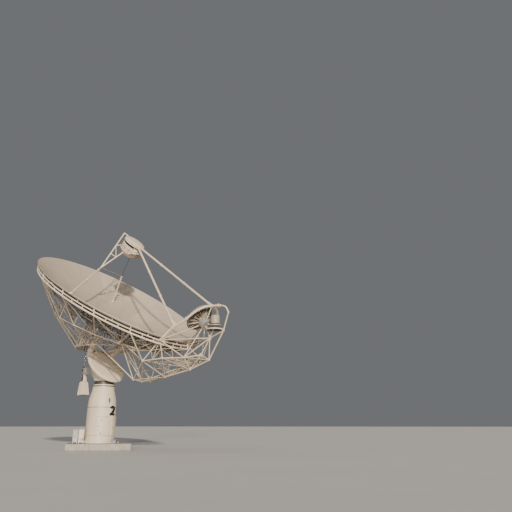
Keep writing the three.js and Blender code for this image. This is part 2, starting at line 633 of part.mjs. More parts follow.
const CAN = { x: 11250, base: 8800, top: 9400, radius: 330, neck: 150, bevel: { width: 70, height: 60 } };
const CAN_TRAY = { radius: 430, base: 8640, top: 8710 };
function receiverCan(grow) {
  const r = CAN.radius + grow;
  const neck = CAN.neck + grow;
  const tray = CAN_TRAY.radius + grow;
  const profile = [
    [0, CAN_TRAY.base - grow], [tray, CAN_TRAY.base - grow], [tray, CAN_TRAY.top + grow],
    [neck, CAN_TRAY.top + grow], [neck, CAN.base - grow], [r, CAN.base - grow],
    [r, CAN.top - CAN.bevel.height], [r - CAN.bevel.width, CAN.top + grow], [0, CAN.top + grow],
  ];
  return placed(turned(profile, 20), frameAt(CAN.x, 0, 0, v(0, 0, 1)));
}
addMesh('receiver_can', receiverCan(0), CREAM, 0.5, 0.2);

function receiverFrame() {
  const hub = v(0, 0, (HUB.front + HUB.back) / 2).applyMatrix4(secondaryFrame);
  const tray = v(CAN.x, 0, CAN_TRAY.base + 30);
  const parts = [
    bar(boom.post, tray, 65, 6), bar(boom.nose, tray, 55, 6), bar(boom.post, hub, 70, 6),
    bar(tray, hub, 60, 6), bar(boom.crown, hub, 60, 6),
  ];
  for (const [, side] of sides) {
    parts.push(bar(sided(boom.corner, side), hub, 60, 6));
    parts.push(bar(sided(boom.wrist, side), hub, 50, 6));
  }
  return join(parts);
}
const boomCutter = boomTruss(GAP);
const archCutter = arch(GAP);
const secondaryCutters = [receiverHub(GAP), secondaryDish(GAP), secondaryRibs(GAP), receiverCan(GAP)];
const receiverCutters = [boomCutter, archCutter, rimFrame(GAP), fullTrussCutter, ...secondaryCutters];
addMesh('receiver_frame', cut(receiverFrame(), ...receiverCutters), DARK);

// Focus cabin: capped drum tipped toward the boom, with a feed horn that looks down at the dish
const CABIN = { x: 2190, z: 16690, radius: 850, length: 1150, end: 480, taper: -780, neck: 300,
  neckDepth: -70 };
const CAP = { radius: 920, height: 300, bevelWidth: 90, bevelHeight: 60, crown: 40 };
const CABIN_SIDES = 24;
const cabinFrame = frameAt(CABIN.x, 0, CABIN.z, v(1, 0, 1));
function cabinBody(grow) {
  const r = CABIN.radius + grow;
  const profile = [
    [0, -CABIN.length - grow], [CABIN.end + grow, -CABIN.length - grow], [r, CABIN.taper],
    [r, CABIN.neckDepth], [CABIN.neck, CABIN.neckDepth + grow], [CABIN.neck, grow], [0, grow],
  ];
  return placed(turned(profile.map(([radius, h]) => [radius, h - GAP]), CABIN_SIDES), cabinFrame);
}
function cabinCap(grow) {
  const r = CAP.radius + grow;
  const profile = [
    [0, -grow], [r, -grow], [r, CAP.height - CAP.bevelHeight],
    [r - CAP.bevelWidth, CAP.height + grow], [0, CAP.height + CAP.crown + grow],
  ];
  return placed(turned(profile, CABIN_SIDES), cabinFrame);
}
addMesh('cabin_cap', cabinCap(0), CREAM, 0.5, 0.2);
addMesh('cabin_body', cabinBody(0), CREAM, 0.5, 0.2);
const HORN = { x: 2330, mouth: 15560, top: 16300, radius: 560, lip: 60, throat: 330, flare: 330 };
function feedHorn(grow) {
  const r = HORN.radius + grow;
  const throat = HORN.throat + grow;
  const profile = [
    [0, HORN.mouth - grow], [r, HORN.mouth - grow], [r, HORN.mouth + HORN.lip],
    [throat, HORN.mouth + HORN.flare], [throat, HORN.top], [0, HORN.top],
  ];
  return placed(turned(profile, 20), frameAt(HORN.x, 0, 0, v(0, 0, 1)));
}
addMesh('feed_horn', cut(feedHorn(0), cabinBody(GAP), cabinCap(GAP)), STEEL, 0.5, 0.3);
const cabinCutters = [cabinBody(GAP), cabinCap(GAP), feedHorn(GAP)];

// Tripod: one strut to the crown of the arch, one to its near leg, one leg to the rim that forks at the cabin
const STRUT_RADIUS = 115;
const gusset = lerp(archPath[1], archPath[2], 0.15);
const strutHead = v(2600, 0, 16480);
const crownStrut = (grow) => member(strutHead, boom.crown, STRUT_RADIUS, grow, 8);
const nearStrut = (grow) => member(strutHead, gusset, STRUT_RADIUS, grow, 8);
addMesh('strut_to_crown', cut(crownStrut(0), archCutter, ...cabinCutters), CREAM);
addMesh('strut_to_near_arch', cut(nearStrut(0), archCutter, crownStrut(GAP), ...cabinCutters), CREAM);

const FORK = v(660, -2000, 14310);
const LEG_ANGLE = THREE.MathUtils.degToRad(-107);
const legFoot = underDish(6600, LEG_ANGLE, -20);
const frameTop = v(1220, -300, 17800);
function leg(grow) {
  const upper = [FORK, frameTop];
  const lowerEnd = v(1700, -500, 16000);
  const r = 75 + grow;
  return join([
    bar(legFoot, FORK, 85 + grow, 8),
    bar(...upper, r, 6),
    bar(FORK, lowerEnd, r, 6),
    bar(frameTop, v(2050, -200, 17150), 50 + grow, 6),
    bar(lerp(...upper, 0.62), v(1700, -400, 16700), 40 + grow, 5),
    bar(lerp(...upper, 0.4), lerp(FORK, lowerEnd, 0.62), 40 + grow, 5),
    bar(legFoot.clone().add(v(0, 0, -60)), legFoot.clone().add(v(0, 0, 90)), 190 + grow, 10),
  ]);
}
const dishTopCutter = reflectorShell(-GAP, 500, 300);
addMesh('forked_leg', cut(leg(0), dishTopCutter, ...cabinCutters), CREAM);

// Conduit that drops from the cabin to the dish, tied back to the fork by a thin stay
const CONDUIT_FOOT = { x: -1900, y: 1780 };
const conduitFoot = v(CONDUIT_FOOT.x, CONDUIT_FOOT.y, dishHeight(CONDUIT_FOOT.x, CONDUIT_FOOT.y) + 10);
const conduitKnee = v(-250, 1100, 14460);
const conduitTop = v(1900, 0, 15700);
function conduitMast(grow) {
  const collarStart = lerp(conduitKnee, conduitFoot, 0.03);
  return join([member(conduitFoot, conduitKnee, 55, grow, 6), member(collarStart, conduitKnee, 85, grow, 8)]);
}
const upAxis = v(0, 0, 1);
const padLow = conduitFoot.clone().addScaledVector(upAxis, -30);
const padHigh = conduitFoot.clone().addScaledVector(upAxis, 60);
const footPad = bar(padLow, padHigh, 150, 10);
addMesh('conduit_mast', cut(join([conduitMast(0), footPad]), dishTopCutter), CREAM);
const conduitLine = (grow) => member(conduitKnee, conduitTop, 22, grow, 6);
addMesh('conduit_upper', cut(conduitLine(0), conduitMast(GAP), leg(GAP), ...cabinCutters), DARK);
const stay = member(FORK, conduitKnee, 20, 0, 6);
addMesh('fork_stay', cut(stay, conduitMast(GAP), leg(GAP), conduitLine(GAP)), STEEL);

export default telescope;
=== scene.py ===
import math
import random

import bmesh
import bpy
from mathutils import Matrix, Vector


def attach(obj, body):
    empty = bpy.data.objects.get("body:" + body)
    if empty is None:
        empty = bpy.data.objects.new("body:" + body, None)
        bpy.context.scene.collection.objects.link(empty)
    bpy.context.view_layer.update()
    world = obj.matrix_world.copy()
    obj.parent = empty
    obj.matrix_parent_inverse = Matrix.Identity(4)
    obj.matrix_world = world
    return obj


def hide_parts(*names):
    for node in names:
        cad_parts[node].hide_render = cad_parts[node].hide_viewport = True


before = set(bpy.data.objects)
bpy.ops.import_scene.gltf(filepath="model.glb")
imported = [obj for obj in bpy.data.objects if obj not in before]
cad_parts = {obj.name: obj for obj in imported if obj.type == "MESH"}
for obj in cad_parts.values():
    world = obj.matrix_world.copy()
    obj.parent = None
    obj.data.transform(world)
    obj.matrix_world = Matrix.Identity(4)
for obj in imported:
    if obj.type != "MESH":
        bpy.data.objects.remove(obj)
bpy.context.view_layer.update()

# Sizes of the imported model, in metres and radians
APERTURE = 6.75
FOCAL = 5.486
RIM_TILT = math.radians(32.2)
RIM_X = 1.04
RIM_Z = 12.14
SHELL = 0.045
AXIS = Vector((0.25, 0.0, 8.5))
TRUSS_SIDE = 2.2
BAYS = 16
PLINTH_SIDE = 4.7
PLINTH_HEIGHT = 0.53
SITE_TURN = math.radians(49.5)
DOOR_TURN = SITE_TURN - math.radians(22)
PEDESTAL_RADIUS = 1.11
PEDESTAL_TOP_RADIUS = 0.815
PEDESTAL_TOP = 4.8
SHOULDER = 3.25
BASE_FLANGE = 1.18
TOP_FLANGE = 0.845
RING_RADIUS = 0.805
GEAR_TOP = 4.885
RING_TOP = 4.9703
NECK_RADIUS = 0.785
NECK_TOP = 5.35
DRUM_CENTRE = Vector((0.15, 0.0, 6.54))
DRUM_TILT = math.radians(51)
DRUM_RADIUS = 1.655
DRUM_DEPTH = 0.14
CROSS_TUBE = Vector((-0.96, 0.0, 7.28))
JACK_PIVOT = Vector((-2.6, 0.0, 6.25))
LEVER_PIVOT = Vector((-2.71, 0.0, 8.0))
LEVER_RISE = 0.42
BASE_RING_X = -0.2
BASE_RING_Z = 7.9
BASE_RING_RADIUS = 2.4
ARCH_RADIUS = 0.095
STRUT_RADIUS = 0.082

SIDES = (-1, 1)
LABELLED_SIDES = (("near", -1), ("far", 1))
TURN = 2 * math.pi
SOFT_EDGE = math.radians(32)
HARD_EDGE = math.radians(24)
random.seed(54)


def vec(x, y, z):
    return Vector((x, y, z))


# Materials

CREAM = (0.70, 0.585, 0.45)
PANEL = (0.52, 0.435, 0.34)
RUST = (0.20, 0.085, 0.035)
GRIME = (0.20, 0.175, 0.145)
DUST = (0.36, 0.32, 0.26)


class Graph:
    """A material's node tree, built on the object's own coordinates."""

    def __init__(self, name):
        self.material = bpy.data.materials.new(name)
        self.material.use_nodes = True
        self.tree = self.material.node_tree
        self.shader = self.tree.nodes["Principled BSDF"]
        self.place = self.node("TexCoord").outputs["Object"]

    def node(self, kind, inputs=None, **settings):
        """New node with its settings, and a value or a link for each input named."""
        made = self.tree.nodes.new("ShaderNode" + kind)
        for key, value in settings.items():
            setattr(made, key, value)
        for key, value in (inputs or {}).items():
            self.join(value, made.inputs[key])
        return made

    def join(self, value, socket):
        if isinstance(value, bpy.types.NodeSocket):
            self.tree.links.new(value, socket)
        elif isinstance(value, tuple) and len(value) == 3 and socket.type == "RGBA":
            socket.default_value = (*value, 1.0)
        else:
            socket.default_value = value

    def noise(self, scale, detail=3.0, stretch=(1, 1, 1), roughness=0.55):
        mapping = self.node("Mapping", {"Vector": self.place, "Scale": stretch})
        inputs = {"Vector": mapping.outputs["Vector"], "Scale": scale, "Detail": detail,
                  "Roughness": roughness}
        return self.node("TexNoise", inputs).outputs["Fac"]

    def cells(self, scale):
        return self.node("TexVoronoi", {"Vector": self.place, "Scale": scale}).outputs

    def between(self, value, low, high, start=0.0, end=1.0):
        inputs = {"Value": value, 1: low, 2: high, 3: start, 4: end}
        return self.node("MapRange", inputs, interpolation_type="SMOOTHSTEP").outputs["Result"]

    def sum(self, a, b):
        return self.node("Math", {0: a, 1: b}, operation="ADD").outputs[0]

    def times(self, *values):
        product = values[0]
        for value in values[1:]:
            product = self.node("Math", {0: product, 1: value}, operation="MULTIPLY").outputs[0]
        return product

    def mix(self, amount, a, b, kind="MIX"):
        inputs = {0: amount, 6: a, 7: b}
        return self.node("Mix", inputs, data_type="RGBA", blend_type=kind).outputs[2]

    def upward(self, vector):
        return self.node("SeparateXYZ", {0: vector}).outputs["Z"]

    def facing_up(self):
        return self.upward(self.node("NewGeometry").outputs["Normal"])

    def bump(self, height, strength, distance, normal=None):
        inputs = {"Strength": strength, "Distance": distance, "Height": height}
        if normal is not None:
            inputs["Normal"] = normal
        return self.node("Bump", inputs).outputs["Normal"]

    def finish(self, colour, roughness, metallic=0.0, normal=None):
        self.join(colour, self.shader.inputs["Base Color"])
        self.join(roughness, self.shader.inputs["Roughness"])
        self.join(metallic, self.shader.inputs["Metallic"])
        if normal is not None:
            self.join(normal, self.shader.inputs["Normal"])
        return self.material


def shade(colour, factor):
    return tuple(min(1.0, c * factor) for c in colour)


def painted(name, colour, streaks=0.4, rust=0.35, gloss=0.46, tint=None):
    """Weathered paint: faded patches, rain streaks, settled dust, chips down to rusty steel."""
    g = Graph(name)
    fade = g.between(g.noise(0.45, 5.0), 0.32, 0.72)
    body = g.mix(fade, shade(colour, 0.90), shade(colour, 1.05))
    cloud = g.between(g.noise(3.2, 6.0, roughness=0.7), 0.35, 0.7)
    body = g.mix(g.times(cloud, 0.22), body, shade(colour, 0.80))
    if tint:
        body = g.mix(g.node("Attribute", attribute_name=tint).outputs["Fac"], body, shade(colour, 0.83))
    runs = g.between(g.noise(2.2, 5.0, (3.0, 3.0, 0.16), 0.62), 0.53, 0.74)
    side = g.between(g.facing_up(), 0.85, 0.35)
    body = g.mix(g.times(runs, side, streaks), body, GRIME)
    settled = g.between(g.facing_up(), 0.55, 0.98)
    grit = g.between(g.noise(9.0, 6.0), 0.38, 0.66)
    body = g.mix(g.times(settled, grit, 0.30), body, DUST)
    chips = g.between(g.noise(14.0, 8.0, roughness=0.72), 0.70, 0.725)
    patches = g.between(g.noise(0.9, 3.0), 0.50, 0.62)
    body = g.mix(g.times(chips, patches, rust), body, RUST)
    rough = g.between(g.noise(6.0, 4.0), 0.3, 0.7, gloss - 0.07, gloss + 0.12)
    peel = g.bump(g.noise(90.0, 3.0), 0.12, 0.002)
    buckle = g.bump(g.noise(1.3, 2.0), 0.35, 0.010, peel)
    return g.finish(body, rough, 0.0, g.bump(chips, -0.25, 0.002, buckle))


def concrete(name):
    """Cast concrete: cement clouds, blowholes, form-board lines, damp and dirt near the ground."""
    g = Graph(name)
    cloud = g.between(g.noise(1.6, 7.0, roughness=0.65), 0.3, 0.72)
    body = g.mix(cloud, (0.27, 0.245, 0.21), (0.43, 0.40, 0.345))
    sand = g.noise(85.0, 5.0)
    body = g.mix(g.times(g.between(sand, 0.4, 0.6), 0.28), body, (0.52, 0.48, 0.42))
    damp = g.between(g.upward(g.place), 0.20, 0.0)
    body = g.mix(g.times(damp, 0.55), body, (0.13, 0.115, 0.095))
    runs = g.between(g.noise(2.6, 5.0, (2.4, 2.4, 0.3), 0.6), 0.54, 0.7)
    body = g.mix(g.times(runs, 0.4), body, (0.15, 0.13, 0.105))
    holes = g.between(g.cells(24.0)["Distance"], 0.16, 0.08)
    few = g.between(g.noise(5.0, 2.0), 0.5, 0.56)
    pits = g.times(holes, few)
    body = g.mix(g.times(pits, 0.7), body, (0.09, 0.08, 0.07))
    boards = g.noise(1.0, 2.0, (0.4, 0.4, 14.0))
    normal = g.bump(sand, 0.30, 0.004)
    normal = g.bump(boards, 0.25, 0.008, normal)
    return g.finish(body, 0.92, 0.0, g.bump(pits, -0.6, 0.006, normal))


def bare_metal(name, colour, metallic, gloss, spangle=0.0, grain=(1, 1, 1), soil=0.35):
    """Zinc, aluminium or ground steel: crystal or brush pattern under patchy oxide and oily dirt."""
    g = Graph(name)
    body = g.mix(g.between(g.noise(1.1, 4.0), 0.3, 0.7), shade(colour, 0.84), shade(colour, 1.08))
    if spangle:
        body = g.mix(spangle, body, g.cells(38.0)["Color"], "SOFT_LIGHT")
    dull = g.between(g.noise(4.0, 6.0, roughness=0.68), 0.45, 0.75)
    body = g.mix(g.times(dull, soil), body, shade(GRIME, 0.8))
    brush = g.noise(60.0, 4.0, grain)
    rough = g.between(g.sum(g.times(brush, 0.4), dull), 0.1, 1.0, gloss - 0.06, gloss + 0.22)
    return g.finish(body, rough, metallic, g.bump(brush, 0.16, 0.002))


MATERIALS = {
    "concrete": concrete("foundation concrete"),
    "cream_steel": painted("cream painted steel", CREAM),
    # Lattice and fine bar paints are the cream darkened: painted shade for the bars, ribs and boom-end parts
    # under the dish
    "lattice_paint_with_shade": painted("lattice paint darkened as painted shade", (0.58, 0.48, 0.365), 0.5, 0.45, 0.5),
    "fine_bars": painted("fine bar paint darkened as painted shade", (0.40, 0.33, 0.25), 0.5, 0.5, 0.52),
    "reflector_panel": painted("reflector panel paint", PANEL, 0.18, 0.12, 0.50, "panel_tint"),
    # The panel backs are near black: painted shade under the dish, on the shell's back, its ribs and the
    # backing bars
    "panel_back": painted("panel backs darkened as painted shade", (0.17, 0.15, 0.13), 0.3, 0.2, 0.6),
    "cabinet_grey": painted("cabinet paint", (0.36, 0.345, 0.315), 0.4, 0.3, 0.42),
    "grey_steel": bare_metal("galvanised steel", (0.46, 0.44, 0.41), 0.55, 0.48, 0.35),
    # Dark steel is the gear and gearbox colour, and also stands for painted shade on the neck, the weld
    # lines, the upper conduit and the secondary's back
    "dark_steel": bare_metal("oiled dark steel, also painted shade", (0.105, 0.098, 0.09), 0.45, 0.44, soil=0.5),
    "screw_steel": bare_metal("ground screw steel", (0.55, 0.54, 0.52), 0.9, 0.28, 0.0, (1, 1, 9), 0.3),
    "horn_metal": bare_metal("machined aluminium", (0.60, 0.56, 0.50), 0.45, 0.50, 0.0, (1, 1, 7), 0.2),
    "black_paint": painted("black stencil paint", (0.009, 0.009, 0.009), 0.02, 0.0, 0.75),
    "dark_gap": painted("shadowed inner steel", (0.030, 0.028, 0.026), 0.1, 0.1, 0.7),
}


# Frames and paths

def frame_to(origin, axis):
    """Frame at origin whose Z runs along axis, turned no more than it has to be."""
    turn = Vector((0, 0, 1)).rotation_difference(Vector(axis).normalized())
    return Matrix.Translation(origin) @ turn.to_matrix().to_4x4()


def shift(x, y, z):
    return Matrix.Translation((x, y, z))


def turned(angle):
    return Matrix.Rotation(angle, 4, "Z")


def spokes(base, count, start=0.0):
    """Copies of a frame, turned evenly about its own Z from a share of a step."""
    return [base @ turned(TURN * (i + start) / count) for i in range(count)]


def site_frame(across, forward, base):
    """Frame square to the plinth, above a spot across and forward of its centre."""
    return turned(SITE_TURN) @ shift(across, -forward, base)


def along_y(x, y, z):
    return frame_to(vec(x, y, z), (0, 1, 0))


def flip(p, side):
    return vec(p.x, p.y * side, p.z)


def circle(radius, z, sides):
    angles = [TURN * i / sides for i in range(sides)]
    return [(radius * math.cos(a), radius * math.sin(a), z) for a in angles]


def ring_at(base, radius, height, sides):
    return [base @ Vector(p) for p in circle(radius, height, sides)]


def band(inner, outer, low, high):
    """Square section of a ring or disc, for turning."""
    return [(inner, low), (outer, low), (outer, high), (inner, high)]


def blend(a, b, start, end, t):
    return a * ((end - t) / (end - start)) + b * ((t - start) / (end - start))


def curve_through(points, steps):
    """Centripetal curve through the points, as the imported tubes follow."""
    dense = []
    row = [points[0] * 2 - points[1], *points, points[-1] * 2 - points[-2]]
    for i in range(len(points) - 1):
        p = row[i:i + 4]
        knots = [0.0]
        for a, b in zip(p, p[1:]):
            knots.append(knots[-1] + (b - a).length ** 0.5)
        for s in range(steps):
            t = blend(knots[1], knots[2], 0, steps, s)
            a1, a2, a3 = (blend(p[k], p[k + 1], knots[k], knots[k + 1], t) for k in range(3))
            b1 = blend(a1, a2, knots[0], knots[2], t)
            b2 = blend(a2, a3, knots[1], knots[3], t)
            dense.append(blend(b1, b2, knots[1], knots[2], t))
    dense.append(points[-1].copy())
    return dense


# Mesh building

class Part:
    """Vertices and faces of one piece, gathered from simple closed forms."""

    def __init__(self):
        self.points = []
        self.faces = []
        self.tints = []

    def add(self, points, faces, matrix=None, tint=0.0):
        start = len(self.points)
        for p in points:
            self.points.append(tuple(matrix @ Vector(p)) if matrix else tuple(p))
            self.tints.append(tint)
        self.faces += [tuple(start + i for i in f) for f in faces]

    def loops(self, loops, close_ends=True, matrix=None, ring=False):
        """Skin over a row of equal loops; ring joins the last loop to the first."""
        n = len(loops[0])
        points = [p for loop in loops for p in loop]
        faces = []
        count = len(loops)
        for j in range(count if ring else count - 1):
            a = j * n
            b = ((j + 1) % count) * n
            for i in range(n):
                k = (i + 1) % n
                faces.append((a + i, a + k, b + k, b + i))
        if close_ends and not ring:
            faces.append(tuple(reversed(range(n))))
            faces.append(tuple(range((count - 1) * n, count * n)))
        self.add(points, faces, matrix)

    def tube(self, p, q, radius, sides=12, base=None):
        """Round bar between two points, given in the base frame if there is one."""
        p, q = (base @ Vector(end) if base else Vector(end) for end in (p, q))
        m = frame_to(p, q - p)
        self.loops([circle(radius, 0, sides), circle(radius, (q - p).length, sides)], matrix=m)

    def tubes(self, bars, sides, scale=1.0):
        for p, q, radius in bars:
            self.tube(p, q, radius * scale, sides)

    def sweep(self, path, radius, sides=12, ring=False):
        """Round tube along a path of points, carried without twist."""
        path = [Vector(p) for p in path]
        count = len(path)
        steps = []
        for i in range(count):
            before = path[(i - 1) % count] if ring or i else path[0]
            after = path[(i + 1) % count] if ring or i < count - 1 else path[-1]
            steps.append((after - before).normalized())
        side = steps[0].orthogonal().normalized()
        loops = []
        for p, along in zip(path, steps):
            side = (side - along * side.dot(along)).normalized()
            other = along.cross(side)
            loops.append([p + (side * math.cos(a) + other * math.sin(a)) * radius
                          for a in (TURN * i / sides for i in range(sides))])
        self.loops(loops, ring=ring)

    def capped(self, loops, low, high, matrix=None):
        """Skin over loops, each end closed by a fan to its own point."""
        start = len(self.points)
        self.loops(loops, False, matrix)
        self.add([low, high], [], matrix)
        first, second = len(self.points) - 2, len(self.points) - 1
        n = len(loops[0])
        last = start + (len(loops) - 1) * n
        for i in range(n):
            k = (i + 1) % n
            self.faces.append((first, start + k, start + i))
            self.faces.append((second, last + i, last + k))

    def lathe(self, profile, matrix=None, sides=64):
        """Solid of revolution; the profile starts and ends on the axis, or closes on itself."""
        if profile[0][0] > 0:
            self.loops([circle(r, z, sides) for r, z in profile], matrix=matrix, ring=True)
            return
        loops = [circle(r, z, sides) for r, z in profile[1:-1]]
        self.capped(loops, (0, 0, profile[0][1]), (0, 0, profile[-1][1]), matrix)

    def block(self, size, base, at=(0, 0, 0), chamfer=0.0):
        bm = bmesh.new()
        bmesh.ops.create_cube(bm, size=1.0, matrix=Matrix.Diagonal((*size, 1.0)))
        if chamfer:
            bmesh.ops.bevel(bm, geom=bm.edges[:], offset=chamfer, segments=1, affect="EDGES")
        self.take(bm, base @ Matrix.Translation(at))

    def hull(self, points):
        bm = bmesh.new()
        for p in points:
            bm.verts.new(p)
        made = bmesh.ops.convex_hull(bm, input=bm.verts[:])
        loose = set(made["geom_interior"]) | set(made["geom_unused"])
        bmesh.ops.delete(bm, geom=[e for e in loose if isinstance(e, bmesh.types.BMVert)], context="VERTS")
        self.take(bm)

    def take(self, bm, matrix=None):
        bm.verts.index_update()
        self.add([v.co.copy() for v in bm.verts], [[v.index for v in f.verts] for f in bm.faces], matrix)
        bm.free()

    def ball(self, centre, radius, sides=14, rings=8):
        angles = [math.pi * i / rings for i in range(1, rings)]
        middle = [(radius * math.sin(a), -radius * math.cos(a)) for a in angles]
        self.lathe([(0, -radius), *middle, (0, radius)], Matrix.Translation(centre), sides)

    def bolt(self, at, axis, size, base=None):
        """Hexagon head on a washer, in the base frame if there is one."""
        if base:
            at = base @ Vector(at)
            axis = base.to_3x3() @ Vector(axis)
        m = frame_to(at, axis)
        high = size * 0.7
        washer = size * 1.25
        self.loops([circle(washer, 0, 10), circle(washer, high * 0.25, 10)], matrix=m)
        self.loops([circle(size, high * 0.2, 6), circle(size, high * 0.9, 6), circle(size * 0.82, high, 6)],
                   matrix=m)

    def bolt_circle(self, base, radius, height, count, size, down=False):
        for x, y, z in circle(radius, height, count):
            self.bolt((x, y, z), (0, 0, -1 if down else 1), size, base)

    def fin(self, corners, thickness, base=None):
        """Flat plate through corners in one plane, or through X and Z pairs in the base frame."""
        if base:
            corners = [base @ vec(x, 0, z) for x, z in corners]
        a, b, c = (Vector(p) for p in corners[:3])
        normal = (b - a).cross(c - a).normalized() * (thickness / 2)
        self.loops([[Vector(p) - normal for p in corners], [Vector(p) + normal for p in corners]])

    def flange(self, at, axis, radius, thickness=0.05):
        """Pair of flanges round a tube, with the joint between them."""
        half = thickness / 2
        self.lathe([(0, -half), (radius - 0.006, -half), (radius, -half + 0.006), (radius, -0.003),
                    (radius - 0.01, 0), (radius, 0.003), (radius, half - 0.006), (radius - 0.006, half),
                    (0, half)], frame_to(at, axis), 28)

    def piece(self, name, body, kind, replaced=(), edge=SOFT_EDGE):
        mesh = bpy.data.meshes.new(name)
        mesh.from_pydata(self.points, [], self.faces)
        bm = bmesh.new()
        bm.from_mesh(mesh)
        bmesh.ops.recalc_face_normals(bm, faces=bm.faces[:])
        bm.to_mesh(mesh)
        bm.free()
        mesh.validate()
        mesh.shade_smooth()
        mesh.set_sharp_from_angle(angle=edge)
        layer = mesh.attributes.new("panel_tint", "FLOAT", "POINT")
        layer.data.foreach_set("value", self.tints)
        made = bpy.data.objects.new(name, mesh)
        bpy.context.scene.collection.objects.link(made)
        mesh.materials.append(MATERIALS[kind])
        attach(made, body)
        if replaced:
            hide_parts(*replaced)


def bolt_piece(name, body, kind, *circles):
    """A piece made of nothing but circles of bolts."""
    part = Part()
    for sizes in circles:
        part.bolt_circle(*sizes)
    part.piece(name, body, kind)


# The paraboloid and the joints of the frame behind it

VERTEX_X = RIM_X + 2 * FOCAL * math.tan(RIM_TILT)
VERTEX_Z = RIM_Z - ((VERTEX_X - RIM_X) ** 2 + APERTURE ** 2) / (4 * FOCAL)
RAIL_PLAN = APERTURE - 0.07
UPPER_DROP = 0.30
LOWER_DROP = 0.56
# Plan radii where the bars behind the shell meet it
INNER_PLAN = 2.0
OUTER_PLAN = 4.4
# Lower joints: place along the line to the rail, and hang below it, which grows toward the jack
MIDDLE_SHARE = 0.52
HANG = 0.35
EXTRA_HANG = 0.5
# Bars to the shell are aimed at a point this far above its face
AIM_ABOVE = 0.2


def dish_height(x, y):
    return VERTEX_Z + ((x - VERTEX_X) ** 2 + y ** 2) / (4 * FOCAL)


def on_dish(radius, angle, drop=0.0):
    """Point at a plan radius and angle about the rim's centre, dropped under the face."""
    x = RIM_X + radius * math.cos(angle)
    y = radius * math.sin(angle)
    return vec(x, y, dish_height(x, y) - drop)


def dish_ring(radius, count, drop=0.0, extra=0):
    return [on_dish(radius, TURN * i / count, drop) for i in range(count + extra)]


def bay_angle(k):
    return (k % BAYS + 0.5) * TURN / BAYS


def mirrored(k, side):
    """The same bay on the far side (1) or on the near side (-1)."""
    return k if side > 0 else BAYS - 1 - k


def under_bay(radius, k, drop):
    return on_dish(radius, math.pi - bay_angle(k), drop)


def base_ring(k):
    a = bay_angle(k)
    return vec(BASE_RING_X - BASE_RING_RADIUS * math.cos(a), BASE_RING_RADIUS * math.sin(a), BASE_RING_Z)


def rail_lower(k):
    return under_bay(RAIL_PLAN, k, LOWER_DROP)


def lower_middle(k):
    hang = HANG + EXTRA_HANG * max(0.0, math.cos(bay_angle(k)))
    return base_ring(k).lerp(rail_lower(k), MIDDLE_SHARE) - vec(0, 0, hang)


def to_shell(p, radius, k):
    """Where a bar from p, aimed at a point above the face, meets the back of the shell."""
    q = under_bay(radius, k, -AIM_ABOVE)
    steps = 400
    for i in range(steps + 1):
        at = p.lerp(q, i / steps)
        if at.z > dish_height(at.x, at.y) - SHELL:
            return at
    return q


# Foundation and pedestal

# Heights of the welds round the pedestal tube
PEDESTAL_SEAMS = (1.13, 2.45)
# Upright welds: foot, head and angle
UPRIGHT_SEAMS = ((0.62, 1.13, 1.1), (1.13, 2.45, 3.6), (2.45, 3.25, 5.35))
# Cable ports: angle in degrees, height up the tube, their own width and height, and how far they stand out
PORTS = ((-38, 2.24, 0.13, 0.055, 0.02), (-49, 1.80, 0.14, 0.055, 0.02), (-39, 1.25, 0.14, 0.055, 0.02),
         (-16, 2.47, 0.10, 0.06, 0.022))
LUG_ANGLES = (-38, 142)
NUMBER_ANGLE = math.radians(8)
NUMBER_BASE = 2.585


def make_foundation():
    part = Part()
    part.block((PLINTH_SIDE, PLINTH_SIDE, PLINTH_HEIGHT), site_frame(0, 0, PLINTH_HEIGHT / 2), chamfer=0.03)
    part.piece("foundation_slab", "foundation", "concrete", ["foundation_plinth"])
    pad = Part()
    low = PLINTH_HEIGHT
    pad.lathe([(1.05, low - 0.02), (1.27, low - 0.02), (1.27, low + 0.012), (1.24, low + 0.024),
               (1.05, low + 0.024)], sides=72)
    pad.piece("grout_pad", "foundation", "concrete")


def make_pedestal():
    part = Part()
    foot = PLINTH_HEIGHT
    wall = 0.02
    r = PEDESTAL_RADIUS
    flange_foot = PEDESTAL_TOP - 0.12
    inner_top = PEDESTAL_TOP_RADIUS - 0.12
    part.lathe([
        (r - wall, foot), (BASE_FLANGE, foot), (BASE_FLANGE, foot + 0.06), (r + 0.012, foot + 0.06),
        (r, foot + 0.075), (r, SHOULDER - 0.01), (r - 0.003, SHOULDER + 0.05), (1.07, SHOULDER + 0.5),
        (0.955, SHOULDER + 0.98), (PEDESTAL_TOP_RADIUS, flange_foot), (TOP_FLANGE - 0.008, flange_foot),
        (TOP_FLANGE, flange_foot + 0.01), (TOP_FLANGE, PEDESTAL_TOP - 0.008),
        (TOP_FLANGE - 0.008, PEDESTAL_TOP), (inner_top, PEDESTAL_TOP), (inner_top, PEDESTAL_TOP - 0.2),
        (0.935, SHOULDER + 0.96), (r - wall, SHOULDER),
    ], sides=96)
    part.piece("pedestal_shell", "foundation", "cream_steel", ["pedestal_tube"])
    seams = Part()
    for z in PEDESTAL_SEAMS:
        seams.lathe([(r - 0.01, z - 0.016), (r + 0.004, z - 0.014), (r + 0.008, z), (r + 0.004, z + 0.014),
                     (r - 0.01, z + 0.016)], sides=96)
    for low, high, angle in UPRIGHT_SEAMS:
        seams.tube((r - 0.004, 0, low), (r - 0.004, 0, high), 0.012, 8, turned(angle))
    seams.lathe([(r - 0.01, 3.22), (r + 0.006, 3.222), (r + 0.010, 3.24), (r + 0.006, 3.262),
                 (r - 0.01, 3.265)], sides=96)
    seams.piece("pedestal_seams", "foundation", "cream_steel")
    # Dark bands under two welds and a short strip just above the middle weld: painted shadow lines
    lines = Part()
    for z, tall in ((3.185, 0.035), (1.085, 0.018)):
        lines.lathe(band(r - 0.01, r + 0.003, z, z + tall), sides=96)
    strip(lines, 0, 0.022, math.radians(-38), 0.35, 2.48, r - 0.004, 0.007, 24)
    lines.piece("pedestal_shadow_lines", "foundation", "dark_steel")
    make_pedestal_ribs()
    make_pedestal_fittings()


